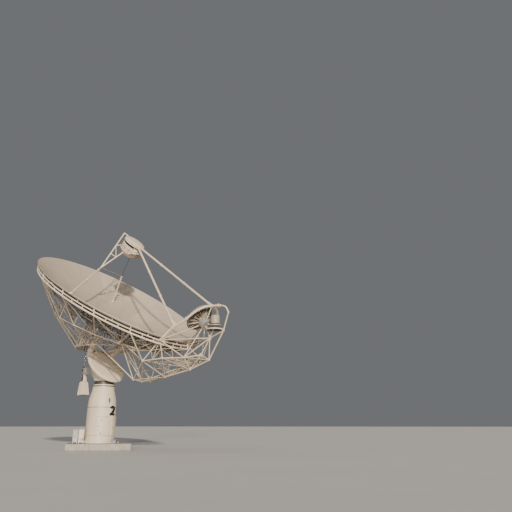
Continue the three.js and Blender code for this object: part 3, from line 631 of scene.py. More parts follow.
def make_pedestal_ribs():
    """Gussets round both flanges, left out behind the door, and the foot bolts."""
    r = PEDESTAL_RADIUS
    low = PLINTH_HEIGHT + 0.055
    ribs = Part()
    count = 24
    for i, m in enumerate(spokes(Matrix(), count, 0.5)):
        from_door = TURN * (i + 0.5) / count - DOOR_TURN
        if abs((from_door + math.pi) % TURN - math.pi) >= 0.38:
            ribs.fin([(r - 0.01, low), (r + 0.06, low), (r + 0.06, low + 0.025), (r + 0.01, low + 0.16),
                      (r - 0.01, low + 0.16)], 0.014, m)
    t = PEDESTAL_TOP_RADIUS
    for m in spokes(Matrix(), 20):
        ribs.fin([(t - 0.01, 4.69), (t + 0.026, 4.69), (t + 0.026, 4.66), (t + 0.045, 4.52),
                  (t + 0.03, 4.52)], 0.014, m)
    ribs.piece("pedestal_ribs", "foundation", "cream_steel")
    bolt_piece("pedestal_bolts", "foundation", "grey_steel",
               (Matrix(), r + 0.042, PLINTH_HEIGHT + 0.06, 48, 0.016))


def make_pedestal_fittings():
    """Cable ports on the tube, a lamp bracket on the cone and lifting lugs on the shoulder."""
    ports = Part()
    rims = Part()
    face = PEDESTAL_RADIUS - 0.004
    for angle, z, width, tall, deep in PORTS:
        a = math.radians(angle)
        strip(ports, -tall / 2, tall / 2, a, width / 2, z, face, deep, 8)
        for low in (-tall / 2 - 0.012, tall / 2):
            strip(rims, low, low + 0.012, a, width / 2 + 0.012, z, face, deep + 0.004, 8)
        for end in SIDES:
            side = a + end * (width / 2 + 0.006) / PEDESTAL_RADIUS
            strip(rims, -tall / 2, tall / 2, side, 0.006, z, face, deep + 0.004, 2)
    m = turned(math.radians(-12))
    ports.block((0.07, 0.10, 0.30), m, (1.105, 0, 3.75), 0.012)
    ports.tube((1.08, 0, 3.44), (1.12, 0, 3.62), 0.016, 10, m)
    ports.piece("pedestal_ports", "foundation", "dark_steel")
    rims.piece("pedestal_port_rims", "foundation", "cream_steel")
    lugs = Part()
    for angle in LUG_ANGLES:
        m = turned(math.radians(angle)) @ shift(PEDESTAL_RADIUS - 0.01, 0, 3.40)
        lugs.fin([(0, -0.10), (0.07, -0.09), (0.095, -0.02), (0.07, 0.06), (0, 0.10)], 0.035, m)
        lugs.block((0.02, 0.16, 0.20), m, (0.006, 0, 0), 0.004)
    lugs.piece("lifting_lugs", "foundation", "grey_steel")


def wrapped(part, outline, depth):
    """Plate that follows the pedestal: outline in width and height, bent round the tube."""
    radius = PEDESTAL_RADIUS - 0.006
    spots = [(NUMBER_ANGLE + across / radius, NUMBER_BASE + up) for across, up in outline]
    part.loops([[vec(r * math.cos(a), r * math.sin(a), z) for a, z in spots]
                for r in (radius, radius + depth)])


def strip(part, low, high, angle, half_width, base, radius, depth, steps=12):
    """Bent slab over a range of width and height, made as a row of sections."""
    loops = []
    for i in range(steps + 1):
        a = angle + (-half_width + 2 * half_width * i / steps) / radius
        section = band(radius, radius + depth, low, high)
        loops.append([vec(r * math.cos(a), r * math.sin(a), base + z) for r, z in section])
    part.loops(loops)


def make_door():
    base = PLINTH_HEIGHT + 0.26
    r = PEDESTAL_RADIUS
    part = Part()
    strip(part, 0.02, 1.73, DOOR_TURN, 0.34, base, r + 0.004, 0.030, 16)
    for low, high in ((0.30, 0.78), (0.95, 1.55)):
        strip(part, low, high, DOOR_TURN, 0.24, base, r + 0.030, 0.010, 14)
    part.piece("door_leaf", "foundation", "cream_steel", ["access_door"])
    rim = Part()
    for low, high in ((0.0, 0.03), (1.72, 1.75)):
        strip(rim, low, high, DOOR_TURN, 0.38, base, r, 0.043, 16)
    for side in SIDES:
        strip(rim, 0.0, 1.75, DOOR_TURN + side * 0.36 / r, 0.02, base, r, 0.043, 3)
    for i in range(9):
        low = 0.36 + i * 0.042
        strip(rim, low, low + 0.014, DOOR_TURN, 0.18, base, r + 0.038, 0.007, 10)
    rim.piece("door_frame", "foundation", "cream_steel")
    iron = Part()
    for up in (0.25, 0.90, 1.50):
        m = turned(DOOR_TURN) @ shift(r + 0.018, -0.34, base + up)
        iron.tube((0.012, 0, -0.06), (0.012, 0, 0.06), 0.014, 10, m)
        iron.block((0.008, 0.09, 0.07), m, (0.014, 0.03, 0), 0.002)
    m = turned(DOOR_TURN) @ shift(r - 0.012, 0.27, base + 0.88)
    iron.tube((0, 0, 0), (0.045, 0, 0), 0.010, 10, m)
    iron.block((0.012, 0.020, 0.14), m, (0.048, 0, 0.04), 0.003)
    iron.piece("door_fittings", "foundation", "grey_steel")
    step = Part()
    m = turned(DOOR_TURN) @ shift(r + 0.22, 0, base - 0.05)
    step.block((0.36, 0.72, 0.03), m, chamfer=0.004)
    for side in SIDES:
        step.block((0.30, 0.02, 0.19), m, (0, side * 0.30, -0.10), 0.003)
    for i in range(9):
        step.block((0.34, 0.008, 0.008), m, (0, -0.32 + i * 0.08, 0.018))
    step.piece("door_step", "foundation", "grey_steel")


def make_number():
    """A plain painted figure two, bent round the tube above the door."""
    bow = [math.radians(172 - 208 * i / 14) for i in range(15)]
    path = [(0.165 * math.cos(a), 0.50 + 0.155 * math.sin(a)) for a in bow]
    path += [(0.08, 0.32), (-0.01, 0.22), (-0.10, 0.13), (-0.14, 0.08)]
    pen_across, pen_up = 0.140, 0.098
    edges = []
    for i, (x, y) in enumerate(path):
        x0, y0 = path[max(0, i - 1)]
        x1, y1 = path[min(len(path) - 1, i + 1)]
        d = math.hypot(x1 - x0, y1 - y0)
        nx, ny = -(y1 - y0) / d * pen_across, (x1 - x0) / d * pen_up
        edges.append((x + nx, y + ny, x - nx, y - ny))

    def stroke(i, f):
        a, b, c, d = edges[i]
        return a * (1 - f) + c * f, b * (1 - f) + d * f

    part = Part()
    share = 0.25
    for i in range(len(path) - 1):
        for f in (0.0, 0.25, 0.5, 0.75):
            far = f + share
            wrapped(part, [stroke(i, f), stroke(i + 1, f), stroke(i + 1, far), stroke(i, far)], 0.018)
    foot_width, foot_height, count = 0.58, 0.17, 8
    for i in range(count):
        x0, x1 = (foot_width * (j / count - 0.5) for j in (i, i + 1))
        wrapped(part, [(x0, 0), (x1, 0), (x1, foot_height), (x0, foot_height)], 0.0185)
    part.piece("painted_number", "foundation", "black_paint", edge=math.radians(60))


def make_cabinets():
    cabinets = (("left", -1.755, "cabinet_grey", "grey_steel"),
                ("right", -1.325, "cream_steel", "dark_steel"))
    for name, across, paint, fittings in cabinets:
        body = Part()
        m = site_frame(across, 0.85, PLINTH_HEIGHT)
        body.block((0.392, 0.415, 0.90), m, (0, 0, 0.53), 0.012)
        body.block((0.42, 0.456, 0.030), m, (0, 0, 1.017), 0.008)
        body.block((0.30, 0.30, 0.010), m, (0, 0, 1.035), 0.003)
        for side in SIDES:
            body.block((0.055, 0.385, 0.082), m, (side * 0.152, 0, 0.041), 0.004)
        body.block((0.352, 0.014, 0.80), m, (0, -0.208, 0.54), 0.005)
        body.piece("cabinet_" + name, "foundation", paint, ["equipment_cabinet_" + name])
        trim = Part()
        for i in range(7):
            trim.block((0.20, 0.010, 0.007), m, (0, -0.216, 0.22 + i * 0.022))
            trim.block((0.010, 0.20, 0.007), m, (-0.198, 0, 0.78 + i * 0.022))
        for z in (0.24, 0.84):
            trim.tube((-0.182, -0.214, z - 0.03), (-0.182, -0.214, z + 0.03), 0.008, 8, m)
        trim.block((0.018, 0.012, 0.10), m, (0.140, -0.216, 0.56), 0.003)
        trim.tube((0.140, -0.212, 0.59), (0.140, -0.226, 0.59), 0.010, 10, m)
        if name == "right":
            trim.block((0.09, 0.030, 0.15), m, (0.125, -0.214, 0.30), 0.004)
            trim.block((0.05, 0.020, 0.06), m, (0.13, -0.212, 0.72), 0.003)
        for x in (-0.15, 0.15):
            for y in (-0.15, 0.15):
                trim.bolt((x, y, 0.083), (0, 0, 1), 0.008, m)
        trim.piece("cabinet_trim_" + name, "foundation", fittings)
    pole = Part()
    m = site_frame(-1.325, 0.80, PLINTH_HEIGHT)
    for x, top in ((-0.05, 1.26), (0.06, 1.20)):
        pole.tube((x, 0, 1.03), (x, 0, top), 0.014, 10, m)
        pole.ball(m @ vec(x, 0, top), 0.018, 10, 6)
        pole.lathe(band(0, 0.03, 1.03, 1.042), m @ shift(x, 0, 0), 12)
    pole.piece("cabinet_stub_pipes", "foundation", "grey_steel")
    pipes = Part()
    for x in (-1.86, -1.78, -1.30):
        route = ((0.66, 0.30), (0.58, 0.30), (0.54, 0.22), (0.54, -0.01))
        points = [site_frame(x, forward, PLINTH_HEIGHT) @ vec(0, 0, z) for forward, z in route]
        pipes.sweep(curve_through(points, 5), 0.022, 10)
    pipes.piece("cabinet_conduits", "foundation", "grey_steel")


# Turntable

DRUM_AXIS = vec(math.sin(DRUM_TILT), 0, math.cos(DRUM_TILT))
DRUM_FRAME = frame_to(DRUM_CENTRE, DRUM_AXIS)
BODY_RADIUS = 1.35
BODY_BACK_RADIUS = 1.0
BODY_DEPTH = 0.65
# Round cover low on the near side of the yoke, and the way that it faces
YOKE_PORT = frame_to((0.241, -0.879, 5.441), (0.11, -0.83, -0.55))
BRACE_TOP = vec(0.1, 1.6, 8.2)
BRACE_FOOT_ACROSS = 0.23
BRACE_FOOT_RISE = 1.5


def make_slewing():
    ring = Part()
    r = RING_RADIUS
    ring.lathe([(0, PEDESTAL_TOP), (r - 0.006, PEDESTAL_TOP), (r, 4.806), (r, 4.832), (r - 0.035, 4.836),
                (r - 0.035, GEAR_TOP), (0, GEAR_TOP)], sides=96)
    for m in spokes(Matrix(), 110):
        ring.block((0.03, 0.022, 0.046), m, (r - 0.026, 0, 4.860))
    ring.piece("slewing_gear", "turntable", "dark_steel", ["slewing_ring"])
    cover = Part()
    cover.lathe([(0, GEAR_TOP), (r - 0.01, GEAR_TOP), (r, GEAR_TOP + 0.008), (r, RING_TOP - 0.012),
                 (r - 0.01, RING_TOP), (0, RING_TOP)], sides=96)
    cover.bolt_circle(Matrix(), NECK_RADIUS + 0.010, RING_TOP, 36, 0.008)
    cover.piece("slewing_cover", "turntable", "cream_steel")


def make_yoke_shell():
    # The grooved neck in dark steel is painted shade under the bulkhead
    neck = Part()
    r = NECK_RADIUS
    rings = [(0, RING_TOP), (r, RING_TOP)]
    for i in range(6):
        z = RING_TOP + 0.02 + 0.058 * i
        rings += [(r, z), (r - 0.022, z + 0.012), (r - 0.022, z + 0.034), (r, z + 0.046)]
    neck.lathe([*rings, (r, NECK_TOP), (0, NECK_TOP)], sides=80)
    neck.piece("neck_painted_shade", "turntable", "dark_steel")
    back = DRUM_DEPTH + BODY_DEPTH
    column = Part()
    column.hull(ring_at(Matrix(), r, NECK_TOP - 0.1, 64) + ring_at(DRUM_FRAME, BODY_RADIUS, -DRUM_DEPTH, 64)
                + ring_at(DRUM_FRAME, BODY_BACK_RADIUS, -back, 56))
    column.tube(CROSS_TUBE + vec(0, -0.9, 0), CROSS_TUBE + vec(0, 0.9, 0), 0.23, 48)
    column.piece("yoke_shell", "turntable", "cream_steel", ["yoke_column"], HARD_EDGE)
    trim = Part()
    trim.lathe([(r - 0.01, NECK_TOP - 0.03), (r + 0.006, NECK_TOP - 0.022), (r + 0.006, NECK_TOP - 0.008),
                (r - 0.01, NECK_TOP)], sides=80)
    for side in SIDES:
        m = frame_to(CROSS_TUBE, (0, side, 0))
        trim.lathe([(0.20, 0.86), (0.25, 0.86), (0.255, 0.866), (0.255, 0.894), (0.25, 0.90), (0.20, 0.90)],
                   m, 48)
        for spoke in spokes(m, 6):
            trim.fin([(0.21, 0.86), (0.25, 0.86), (0.225, 0.70), (0.21, 0.70)], 0.014, spoke)
    m = DRUM_FRAME @ Matrix.Rotation(math.pi, 4, "X") @ shift(0, 0, back)
    trim.lathe([(0, -0.02), (0.42, -0.02), (0.42, 0.016), (0.41, 0.022), (0.32, 0.022), (0.31, 0.016),
                (0, 0.016)], m, 48)
    trim.bolt_circle(m, 0.365, 0.022, 16, 0.012)
    trim.piece("yoke_trim", "turntable", "cream_steel")
    ports = Part()
    ports.lathe([(0, -0.02), (0.12, -0.02), (0.12, 0.012), (0.11, 0.018), (0.085, 0.018), (0.08, 0.012),
                 (0, 0.012)], YOKE_PORT, 32)
    ports.bolt_circle(YOKE_PORT, 0.098, 0.018, 8, 0.008)
    ports.piece("yoke_ports", "turntable", "horn_metal")


def make_bulkhead():
    drum = Part()
    r = DRUM_RADIUS
    lip = r + 0.055
    back = -DRUM_DEPTH
    front = back + 0.045
    drum.lathe([
        (0, back), (lip - 0.005, back), (lip, back + 0.006), (lip, front - 0.006), (lip - 0.005, front),
        (r, front), (r, -0.036), (r - 0.008, -0.028), (r - 0.080, 0.010), (r - 0.10, 0.0155), (1.1, 0.028),
        (0.5, 0.045), (0, 0.058),
    ], DRUM_FRAME, 128)
    drum.piece("bulkhead_drum", "turntable", "cream_steel", ["yoke_bulkhead"], math.radians(28))
    bolt_piece("bulkhead_bolts", "turntable", "grey_steel", (DRUM_FRAME, r + 0.030, front, 72, 0.012),
               (DRUM_FRAME, r + 0.030, back, 72, 0.012, True))
    ribs = Part()
    for m in spokes(DRUM_FRAME, 20, 0.5):
        ribs.fin([(1.25, back), (1.60, back), (1.60, back - 0.03), (1.25, back - 0.22)], 0.016, m)
    ribs.lathe(band(1.45, 1.47, back - 0.012, back + 0.01), DRUM_FRAME, 96)
    ribs.lathe([(1.17, 0.015), (1.20, 0.015), (1.197, 0.029), (1.173, 0.030)], DRUM_FRAME, 96)
    ribs.piece("bulkhead_ribs", "turntable", "cream_steel")


def make_brace(arm, plates, side):
    """Tapered strut from the arm down to the top of the bulkhead, with its foot plate."""
    up = vec(-math.cos(DRUM_TILT), 0, math.sin(DRUM_TILT))
    foot = DRUM_CENTRE + up * BRACE_FOOT_RISE + vec(0, side * BRACE_FOOT_ACROSS, 0) - DRUM_AXIS * DRUM_DEPTH
    top = flip(BRACE_TOP, side)
    lean = (top - foot).normalized()
    on_face = frame_to(foot + lean * ((DRUM_DEPTH + 0.015) / lean.dot(DRUM_AXIS)), DRUM_AXIS)
    arm.hull(ring_at(on_face, 0.175, -0.05, 32) + ring_at(frame_to(top, lean), 0.09, 0, 24))
    plates.lathe([(0, -0.03), (0.235, -0.03), (0.235, 0.010), (0.228, 0.016), (0, 0.016)], on_face, 40)
    plates.bolt_circle(on_face, 0.208, 0.016, 12, 0.011)


def make_arms():
    for label, side in LABELLED_SIDES:
        arm = Part()
        plates = Part()
        points = []
        for y in (1.48, 1.83):
            points += ring_at(along_y(AXIS.x, side * y, AXIS.z), 0.19, 0, 40)
        for y in (0.9003, 1.12):
            points += ring_at(along_y(CROSS_TUBE.x, side * y, CROSS_TUBE.z), 0.20, 0, 40)
        arm.hull(points)
        make_brace(arm, plates, side)
        arm.piece("arm_" + label, "turntable", "cream_steel", ["yoke_arm_" + label], HARD_EDGE)
        m = frame_to(AXIS, (0, side, 0))
        plates.lathe([(0.158, 1.48), (0.28, 1.48), (0.29, 1.49), (0.29, 1.53), (0.262, 1.545), (0.262, 1.765),
                      (0.29, 1.78), (0.29, 1.82), (0.28, 1.83), (0.158, 1.83)], m, 56)
        plates.bolt_circle(m, 0.276, 1.53, 16, 0.010)
        start = AXIS + vec(0, side * 1.655, 0)
        end = CROSS_TUBE + vec(0, side * 1.01, 0)
        along = (end - start).normalized()
        a, b = start + along * 0.32, end - along * 0.24
        for face in SIDES:
            out = vec(along.z, 0, -along.x).normalized() * face
            plates.fin([a + out * 0.18, b + out * 0.18, b + out * 0.215, a + out * 0.215], 0.020)
        plates.piece("arm_fittings_" + label, "turntable", "cream_steel")
        pin = Part()
        pin.lathe([(0, 1.8303), (0.26, 1.8303), (0.27, 1.84), (0.27, 1.975), (0.255, 1.99), (0.21, 1.99),
                   (0.20, 2.00), (0.20, 2.29), (0.21, 2.30), (0.205, 2.32), (0, 2.32)], m, 48)
        pin.lathe([(0, 1.46), (0.145, 1.46), (0.15, 1.465), (0.15, 1.478), (0, 1.478)], m, 40)
        pin.piece("trunnion_" + label, "dish", "grey_steel", ["elevation_trunnion_" + label])
        bolt_piece("trunnion_bolts_" + label, "dish", "dark_steel", (m, 0.234, 1.99, 16, 0.014),
                   (m, 0.15, 2.32, 8, 0.012))


# Elevation jack

JACK_FRAME = frame_to(JACK_PIVOT, LEVER_PIVOT - JACK_PIVOT)
# Half width and place along the axis of the shroud's walls, outside and then inside
SHROUD_WALLS = ((0.070, -0.1903), (0.118, -0.1903), (0.120, -0.196), (0.170, -0.905), (0.234, -0.963),
                (0.236, -0.975), (0.335, -2.00), (0.337, -2.010), (0.325, -2.010), (0.222, -0.975),
                (0.156, -0.915), (0.108, -0.204), (0.070, -0.204))
# Bands round the shroud: half width, place along the axis, and height of the band
SHROUD_BANDS = ((0.122, -0.215, 0.030), (0.168, -0.880, 0.024), (0.238, -1.00, 0.030), (0.285, -1.50, 0.012),
                (0.334, -1.992, 0.030))


def make_outriggers():
    for label, side in LABELLED_SIDES:
        part = Part()
        points = []
        for y in (side * 0.165, side * 0.205):
            points += ring_at(along_y(JACK_PIVOT.x, y, JACK_PIVOT.z), 0.17, 0, 40)
            points += [vec(-1.0, y, 6.7), vec(-0.9, y, 5.5)]
        part.hull(points)
        for x0, z0, x1, z1 in ((-2.58, 6.40, -1.10, 6.67), (-2.55, 6.10, -1.0, 5.55)):
            low, high = side * 0.205, side * 0.232
            part.fin([(x0, low, z0), (x1, low, z1), (x1, high, z1), (x0, high, z0)], 0.016)
        part.piece("outrigger_" + label, "turntable", "grey_steel", ["jack_outrigger_" + label])
        bolts = Part()
        m = frame_to(JACK_PIVOT, (0, side, 0))
        bolts.lathe(band(0.082, 0.14, 0.205, 0.220), m, 36)
        bolts.bolt_circle(m, 0.112, 0.220, 8, 0.010)
        bolts.piece("outrigger_bearing_" + label, "turntable", "dark_steel")


def make_gearbox():
    box = Part()
    box.block((0.316, 0.306, 0.376), JACK_FRAME, chamfer=0.018)
    box.block((0.24, 0.24, 0.13), JACK_FRAME, (0, 0, 0.235), 0.012)
    for side in SIDES:
        box.lathe([(0, 0), (0.12, 0), (0.12, 0.1647), (0.07, 0.1647), (0.07, 0.22), (0, 0.22)],
                  frame_to(JACK_PIVOT, (0, side, 0)), 40)
        for z in (-0.15, 0.15):
            box.block((0.28, 0.006, 0.02), JACK_FRAME, (0, side * 0.155, z), 0.002)
    box.lathe(band(0.05, 0.095, 0.295, 0.325), JACK_FRAME, 32)
    box.piece("gearbox", "jack_housing", "dark_steel", ["jack_gearbox"])
    bolts = Part()
    for x in SIDES:
        for z in (-0.13, 0.0, 0.13):
            for y in (-0.13, 0.13):
                bolts.bolt((x * 0.158, y * 0.85, z), (x, 0, 0), 0.012, JACK_FRAME)
        for y in SIDES:
            bolts.bolt((x * 0.09, y * 0.09, 0.30), (0, 0, 1), 0.010, JACK_FRAME)
    bolts.piece("gearbox_bolts", "jack_housing", "grey_steel")


def square_loop(half, z):
    """Square with cut corners, across the jack's axis."""
    corner = min(0.02, half * 0.12)
    points = []
    for sx, sy in ((1, 1), (-1, 1), (-1, -1), (1, -1)):
        cut = [(sx * half, sy * (half - corner), z), (sx * (half - corner), sy * half, z)]
        points += cut if sx * sy > 0 else reversed(cut)
    return points


def make_shroud():
    part = Part()
    part.loops([square_loop(half, z) for half, z in SHROUD_WALLS], matrix=JACK_FRAME, ring=True)
    part.piece("shroud", "jack_housing", "cream_steel", ["jack_shroud"], math.radians(20))
    trim = Part()
    for half, z, tall in SHROUD_BANDS:
        section = band(half - 0.012, half + 0.004, z - tall / 2, z + tall / 2)
        trim.loops([square_loop(r, height) for r, height in section], matrix=JACK_FRAME, ring=True)
    for x in SIDES:
        for y in SIDES:
            trim.tube((x * 0.228, y * 0.228, -0.985), (x * 0.325, y * 0.325, -1.985), 0.012, 8, JACK_FRAME)
    trim.piece("shroud_bands", "jack_housing", "cream_steel")
    bolts = Part()
    for m in spokes(JACK_FRAME, 4):
        for i in range(7):
            y = -0.20 + 0.40 * i / 6
            bolts.bolt((0.242, y, -1.0), (1, 0, 0), 0.008, m)
            bolts.bolt((0.338, y * 1.4, -1.992), (1, 0, 0), 0.008, m)
            if abs(y) < 0.14:
                bolts.bolt((0.172, y, -0.88), (1, 0, 0), 0.007, m)
    bolts.piece("shroud_bolts", "jack_housing", "grey_steel")
    slot = Part()
    outline = ((0, -0.085), (0, 0.060), (1, 0.085), (1, -0.115))
    slot.loops([[(0.118 + 0.06768 * t + stand, across, -0.225 - t * 0.65) for t, across in outline]
                for stand in (0.002, 0.009)], matrix=JACK_FRAME @ turned(-math.pi / 2))
    slot.piece("shroud_slot", "jack_housing", "dark_gap")


def make_screw():
    """Threaded screw with its nose, and the eye between the lever's plates."""
    length = (LEVER_PIVOT - JACK_PIVOT).length
    low, high = -1.93, length - 0.10
    sides, pitch, per_turn = 20, 0.045, 7
    steps = int((high - low) / pitch * per_turn)
    loops = [circle(0.040, low, sides)]
    for j in range(1, steps):
        z = low + (high - low) * j / steps
        loop = []
        for i in range(sides):
            a = TURN * i / sides
            r = 0.0445 - 0.006 * max(0.0, math.cos(TURN * z / pitch - a)) ** 0.8
            loop.append((r * math.cos(a), r * math.sin(a), z))
        loops.append(loop)
    loops.append(circle(0.040, high, sides))
    part = Part()
    part.loops(loops, matrix=JACK_FRAME)
    part.lathe([(0, high - 0.01), (0.055, high - 0.01), (0.07, high + 0.03), (0.07, length), (0, length)],
               JACK_FRAME, 32)
    part.lathe([(0, 0), (0.10, 0), (0.11, 0.01), (0.11, 0.11), (0.10, 0.12), (0, 0.12)],
               along_y(LEVER_PIVOT.x, -0.06, LEVER_PIVOT.z), 40)
    part.piece("ball_screw", "jack_screw", "screw_steel", ["jack_screw"], math.radians(40))


def make_lever():
    lever = Part()
    for side in SIDES:
        points = []
        for y in (side * 0.072, side * 0.112):
            points += ring_at(along_y(LEVER_PIVOT.x, y, LEVER_PIVOT.z), 0.20, 0, 40)
            points += [LEVER_PIVOT + vec(x, y, LEVER_RISE) for x in (-0.16, 0.16)]
        lever.hull(points)
        lever.tube(LEVER_PIVOT + vec(0, side * 0.112, 0), LEVER_PIVOT + vec(0, side * 0.128, 0), 0.12, 32)
    lever.block((0.36, 0.26, 0.16), Matrix.Translation(LEVER_PIVOT), (0, 0, LEVER_RISE), 0.012)
    lever.piece("lever", "dish", "grey_steel", ["jack_lever"])
    pins = Part()
    for side in SIDES:
        m = frame_to(LEVER_PIVOT, (0, side, 0))
        pins.lathe([(0, 0.120), (0.07, 0.120), (0.07, 0.150), (0.06, 0.155), (0, 0.155)], m, 28)
        pins.bolt_circle(m, 0.095, 0.128, 6, 0.008)
        for x in (-0.12, 0.0, 0.12):
            pins.bolt(LEVER_PIVOT + vec(x, side * 0.13, LEVER_RISE), (0, side, 0), 0.013)
    pins.piece("lever_pins", "dish", "dark_steel")


# Main reflector

# Rings of panels: inner and outer radius as shares of the aperture, and panels in the ring
PANEL_RINGS = ((0.0, 0.31, 8), (0.31, 0.66, 16), (0.66, 1.0, 16))
PANEL_GAP = 0.010
PANEL_DEPTH = 0.014
# Back ribs: width and depth of the plate, of its flange and of the light ribs between
RIB = (0.012, 0.075)
RIB_FLANGE = (0.055, 0.008)
LIGHT_RIB = (0.008, 0.050)
# Steps round the shell's back, round its inner rings of ribs and round the rib at the rim
BACK_SIDES = 112
RIB_SIDES = 96
RIM_RIB_SIDES = 128


def make_reflector():
    part = Part()
    for inner, outer, count in PANEL_RINGS:
        r0 = max(0.06, inner * APERTURE + PANEL_GAP / 2)
        r1 = outer * APERTURE - (PANEL_GAP / 2 if outer < 1 else 0.0)
        for k in range(count):
            add_panel(part, r0, r1, TURN * k / count, TURN * (k + 1) / count)
    part.piece("reflector_panels", "dish", "reflector_panel")
    # The shell's back is near black: painted shade under the dish
    back = Part()
    under_panels = PANEL_DEPTH - 0.002
    rings = [APERTURE * i / 20 for i in range(1, 20)] + [APERTURE - 0.004]
    loops = [dish_ring(r, BACK_SIDES, SHELL) for r in rings]
    loops += [dish_ring(r, BACK_SIDES, under_panels) for r in reversed(rings)]
    back.capped(loops, on_dish(0, 0, SHELL), on_dish(0, 0, under_panels))
    back.piece("reflector_back", "dish", "panel_back", ["main_reflector"])
    make_panel_ribs()
    lip = Part()
    lip.sweep(dish_ring(APERTURE - 0.020, 180, 0.022), 0.019, 10, True)
    lip.piece("reflector_lip", "dish", "cream_steel")


def add_panel(part, r0, r1, a0, a1):
    """One curved panel with a gap all round it, and a tint of its own."""
    rows, cols = 7, 12
    tint = random.random() * 0.8
    points = []
    for depth in (0.0, PANEL_DEPTH):
        for j in range(rows + 1):
            r = r0 + (r1 - r0) * j / rows
            trim = PANEL_GAP / 2 / r
            wide = a1 - a0 - 2 * trim
            points += [on_dish(r, a0 + trim + wide * i / cols, depth) for i in range(cols + 1)]
    n = cols + 1
    half = n * (rows + 1)
    faces = []
    for j in range(rows):
        for i in range(cols):
            p = j * n + i
            faces.append((p, p + 1, p + n + 1, p + n))
            faces.append((half + p, half + p + n, half + p + n + 1, half + p + 1))
    edge = list(range(n)) + [j * n + cols for j in range(1, rows + 1)]
    edge += [rows * n + i for i in range(cols - 1, -1, -1)] + [j * n for j in range(rows - 1, 0, -1)]
    faces += [(p, half + p, half + q, q) for p, q in zip(edge, edge[1:] + edge[:1])]
    part.add(points, faces, tint=tint)


def bent_rail(part, path, size, lower=0.0):
    """Shallow rail under the shell, of a rectangular section kept upright."""
    width, depth = size
    loops = []
    last = len(path) - 1
    for i, p in enumerate(path):
        along = (path[min(i + 1, last)] - path[max(i - 1, 0)]).normalized()
        across = along.cross(vec(0, 0, 1)).normalized() * (width / 2)
        top = p - vec(0, 0, lower)
        down = vec(0, 0, -depth)
        loops.append([top - across, top + across, top + across + down, top - across + down])
    part.loops(loops)


def make_panel_ribs():
    # The ribs share the near-black back paint: painted shade under the dish
    part = Part()
    drop = SHELL - 0.004
    flange_drop = 0.071

    def spoke(inner, outer, start, angle, steps):
        radii = [APERTURE * (inner + (outer - inner) * i / steps) for i in range(steps + 1)]
        radii[0] = max(start, radii[0])
        return [on_dish(r, angle, drop) for r in radii]

    def deep_rib(path):
        bent_rail(part, path, RIB)
        bent_rail(part, path, RIB_FLANGE, flange_drop)

    for inner, outer, count in PANEL_RINGS:
        for k in range(count):
            deep_rib(spoke(inner, outer, 0.05, TURN * k / count, 8))
            for f in (0.25, 0.5, 0.75):
                bent_rail(part, spoke(inner, outer, 0.35, TURN * (k + f) / count, 6), LIGHT_RIB)
        if outer < 1:
            deep_rib(dish_ring(APERTURE * outer, RIB_SIDES, drop, 1))
    for f in (0.16, 0.48, 0.83):
        bent_rail(part, dish_ring(APERTURE * f, RIB_SIDES, drop, 1), LIGHT_RIB)
    bent_rail(part, dish_ring(APERTURE - 0.03, RIM_RIB_SIDES, drop, 1), RIB)
    part.piece("panel_back_ribs", "dish", "panel_back")


# Rails, posts and rungs of the rim: radii, steps round, and the plan radius of the clips under the shell
UPPER_RAIL = 0.046
LOWER_RAIL = 0.064
RIM_POST = 0.040
RIM_RUNG = 0.026
RAIL_SIDES = 160
CLIP_PLAN = APERTURE - 0.16


def make_rim():
    part = Part()
    part.sweep(dish_ring(RAIL_PLAN, RAIL_SIDES, UPPER_DROP), UPPER_RAIL, 14, True)
    part.sweep(dish_ring(RAIL_PLAN, RAIL_SIDES, LOWER_DROP), LOWER_RAIL, 16, True)
    for k in range(BAYS):
        foot = rail_lower(k)
        part.tube(foot, foot + vec(0, 0, LOWER_DROP - SHELL), RIM_POST)
    part.piece("rim_rails", "dish", "cream_steel", ["rim_frame"])
    small = Part()
    for i in range(3 * BAYS):
        if i % 3:
            foot = on_dish(RAIL_PLAN, TURN * (i + 1.5) / (3 * BAYS), LOWER_DROP)
            small.tube(foot, foot + vec(0, 0, LOWER_DROP - UPPER_DROP), RIM_RUNG, 10)
    for i in range(2 * BAYS):
        a = TURN * i / (2 * BAYS)
        small.tube(on_dish(RAIL_PLAN, a, UPPER_DROP), on_dish(CLIP_PLAN, a, SHELL), RIM_RUNG, 10)
        clip = frame_to(on_dish(CLIP_PLAN, a, SHELL + 0.012), (0, 0, -1))
        small.lathe(band(0, 0.055, -0.01, 0.006), clip, 14)
    small.piece("rim_ladder", "dish", "cream_steel")


# Space frames

# The bars that show are a little slimmer than the solid model's four-sided ones
SLIM = 0.74
TRUSS_JOINT = 0.078
BOOM_JOINT = 0.085
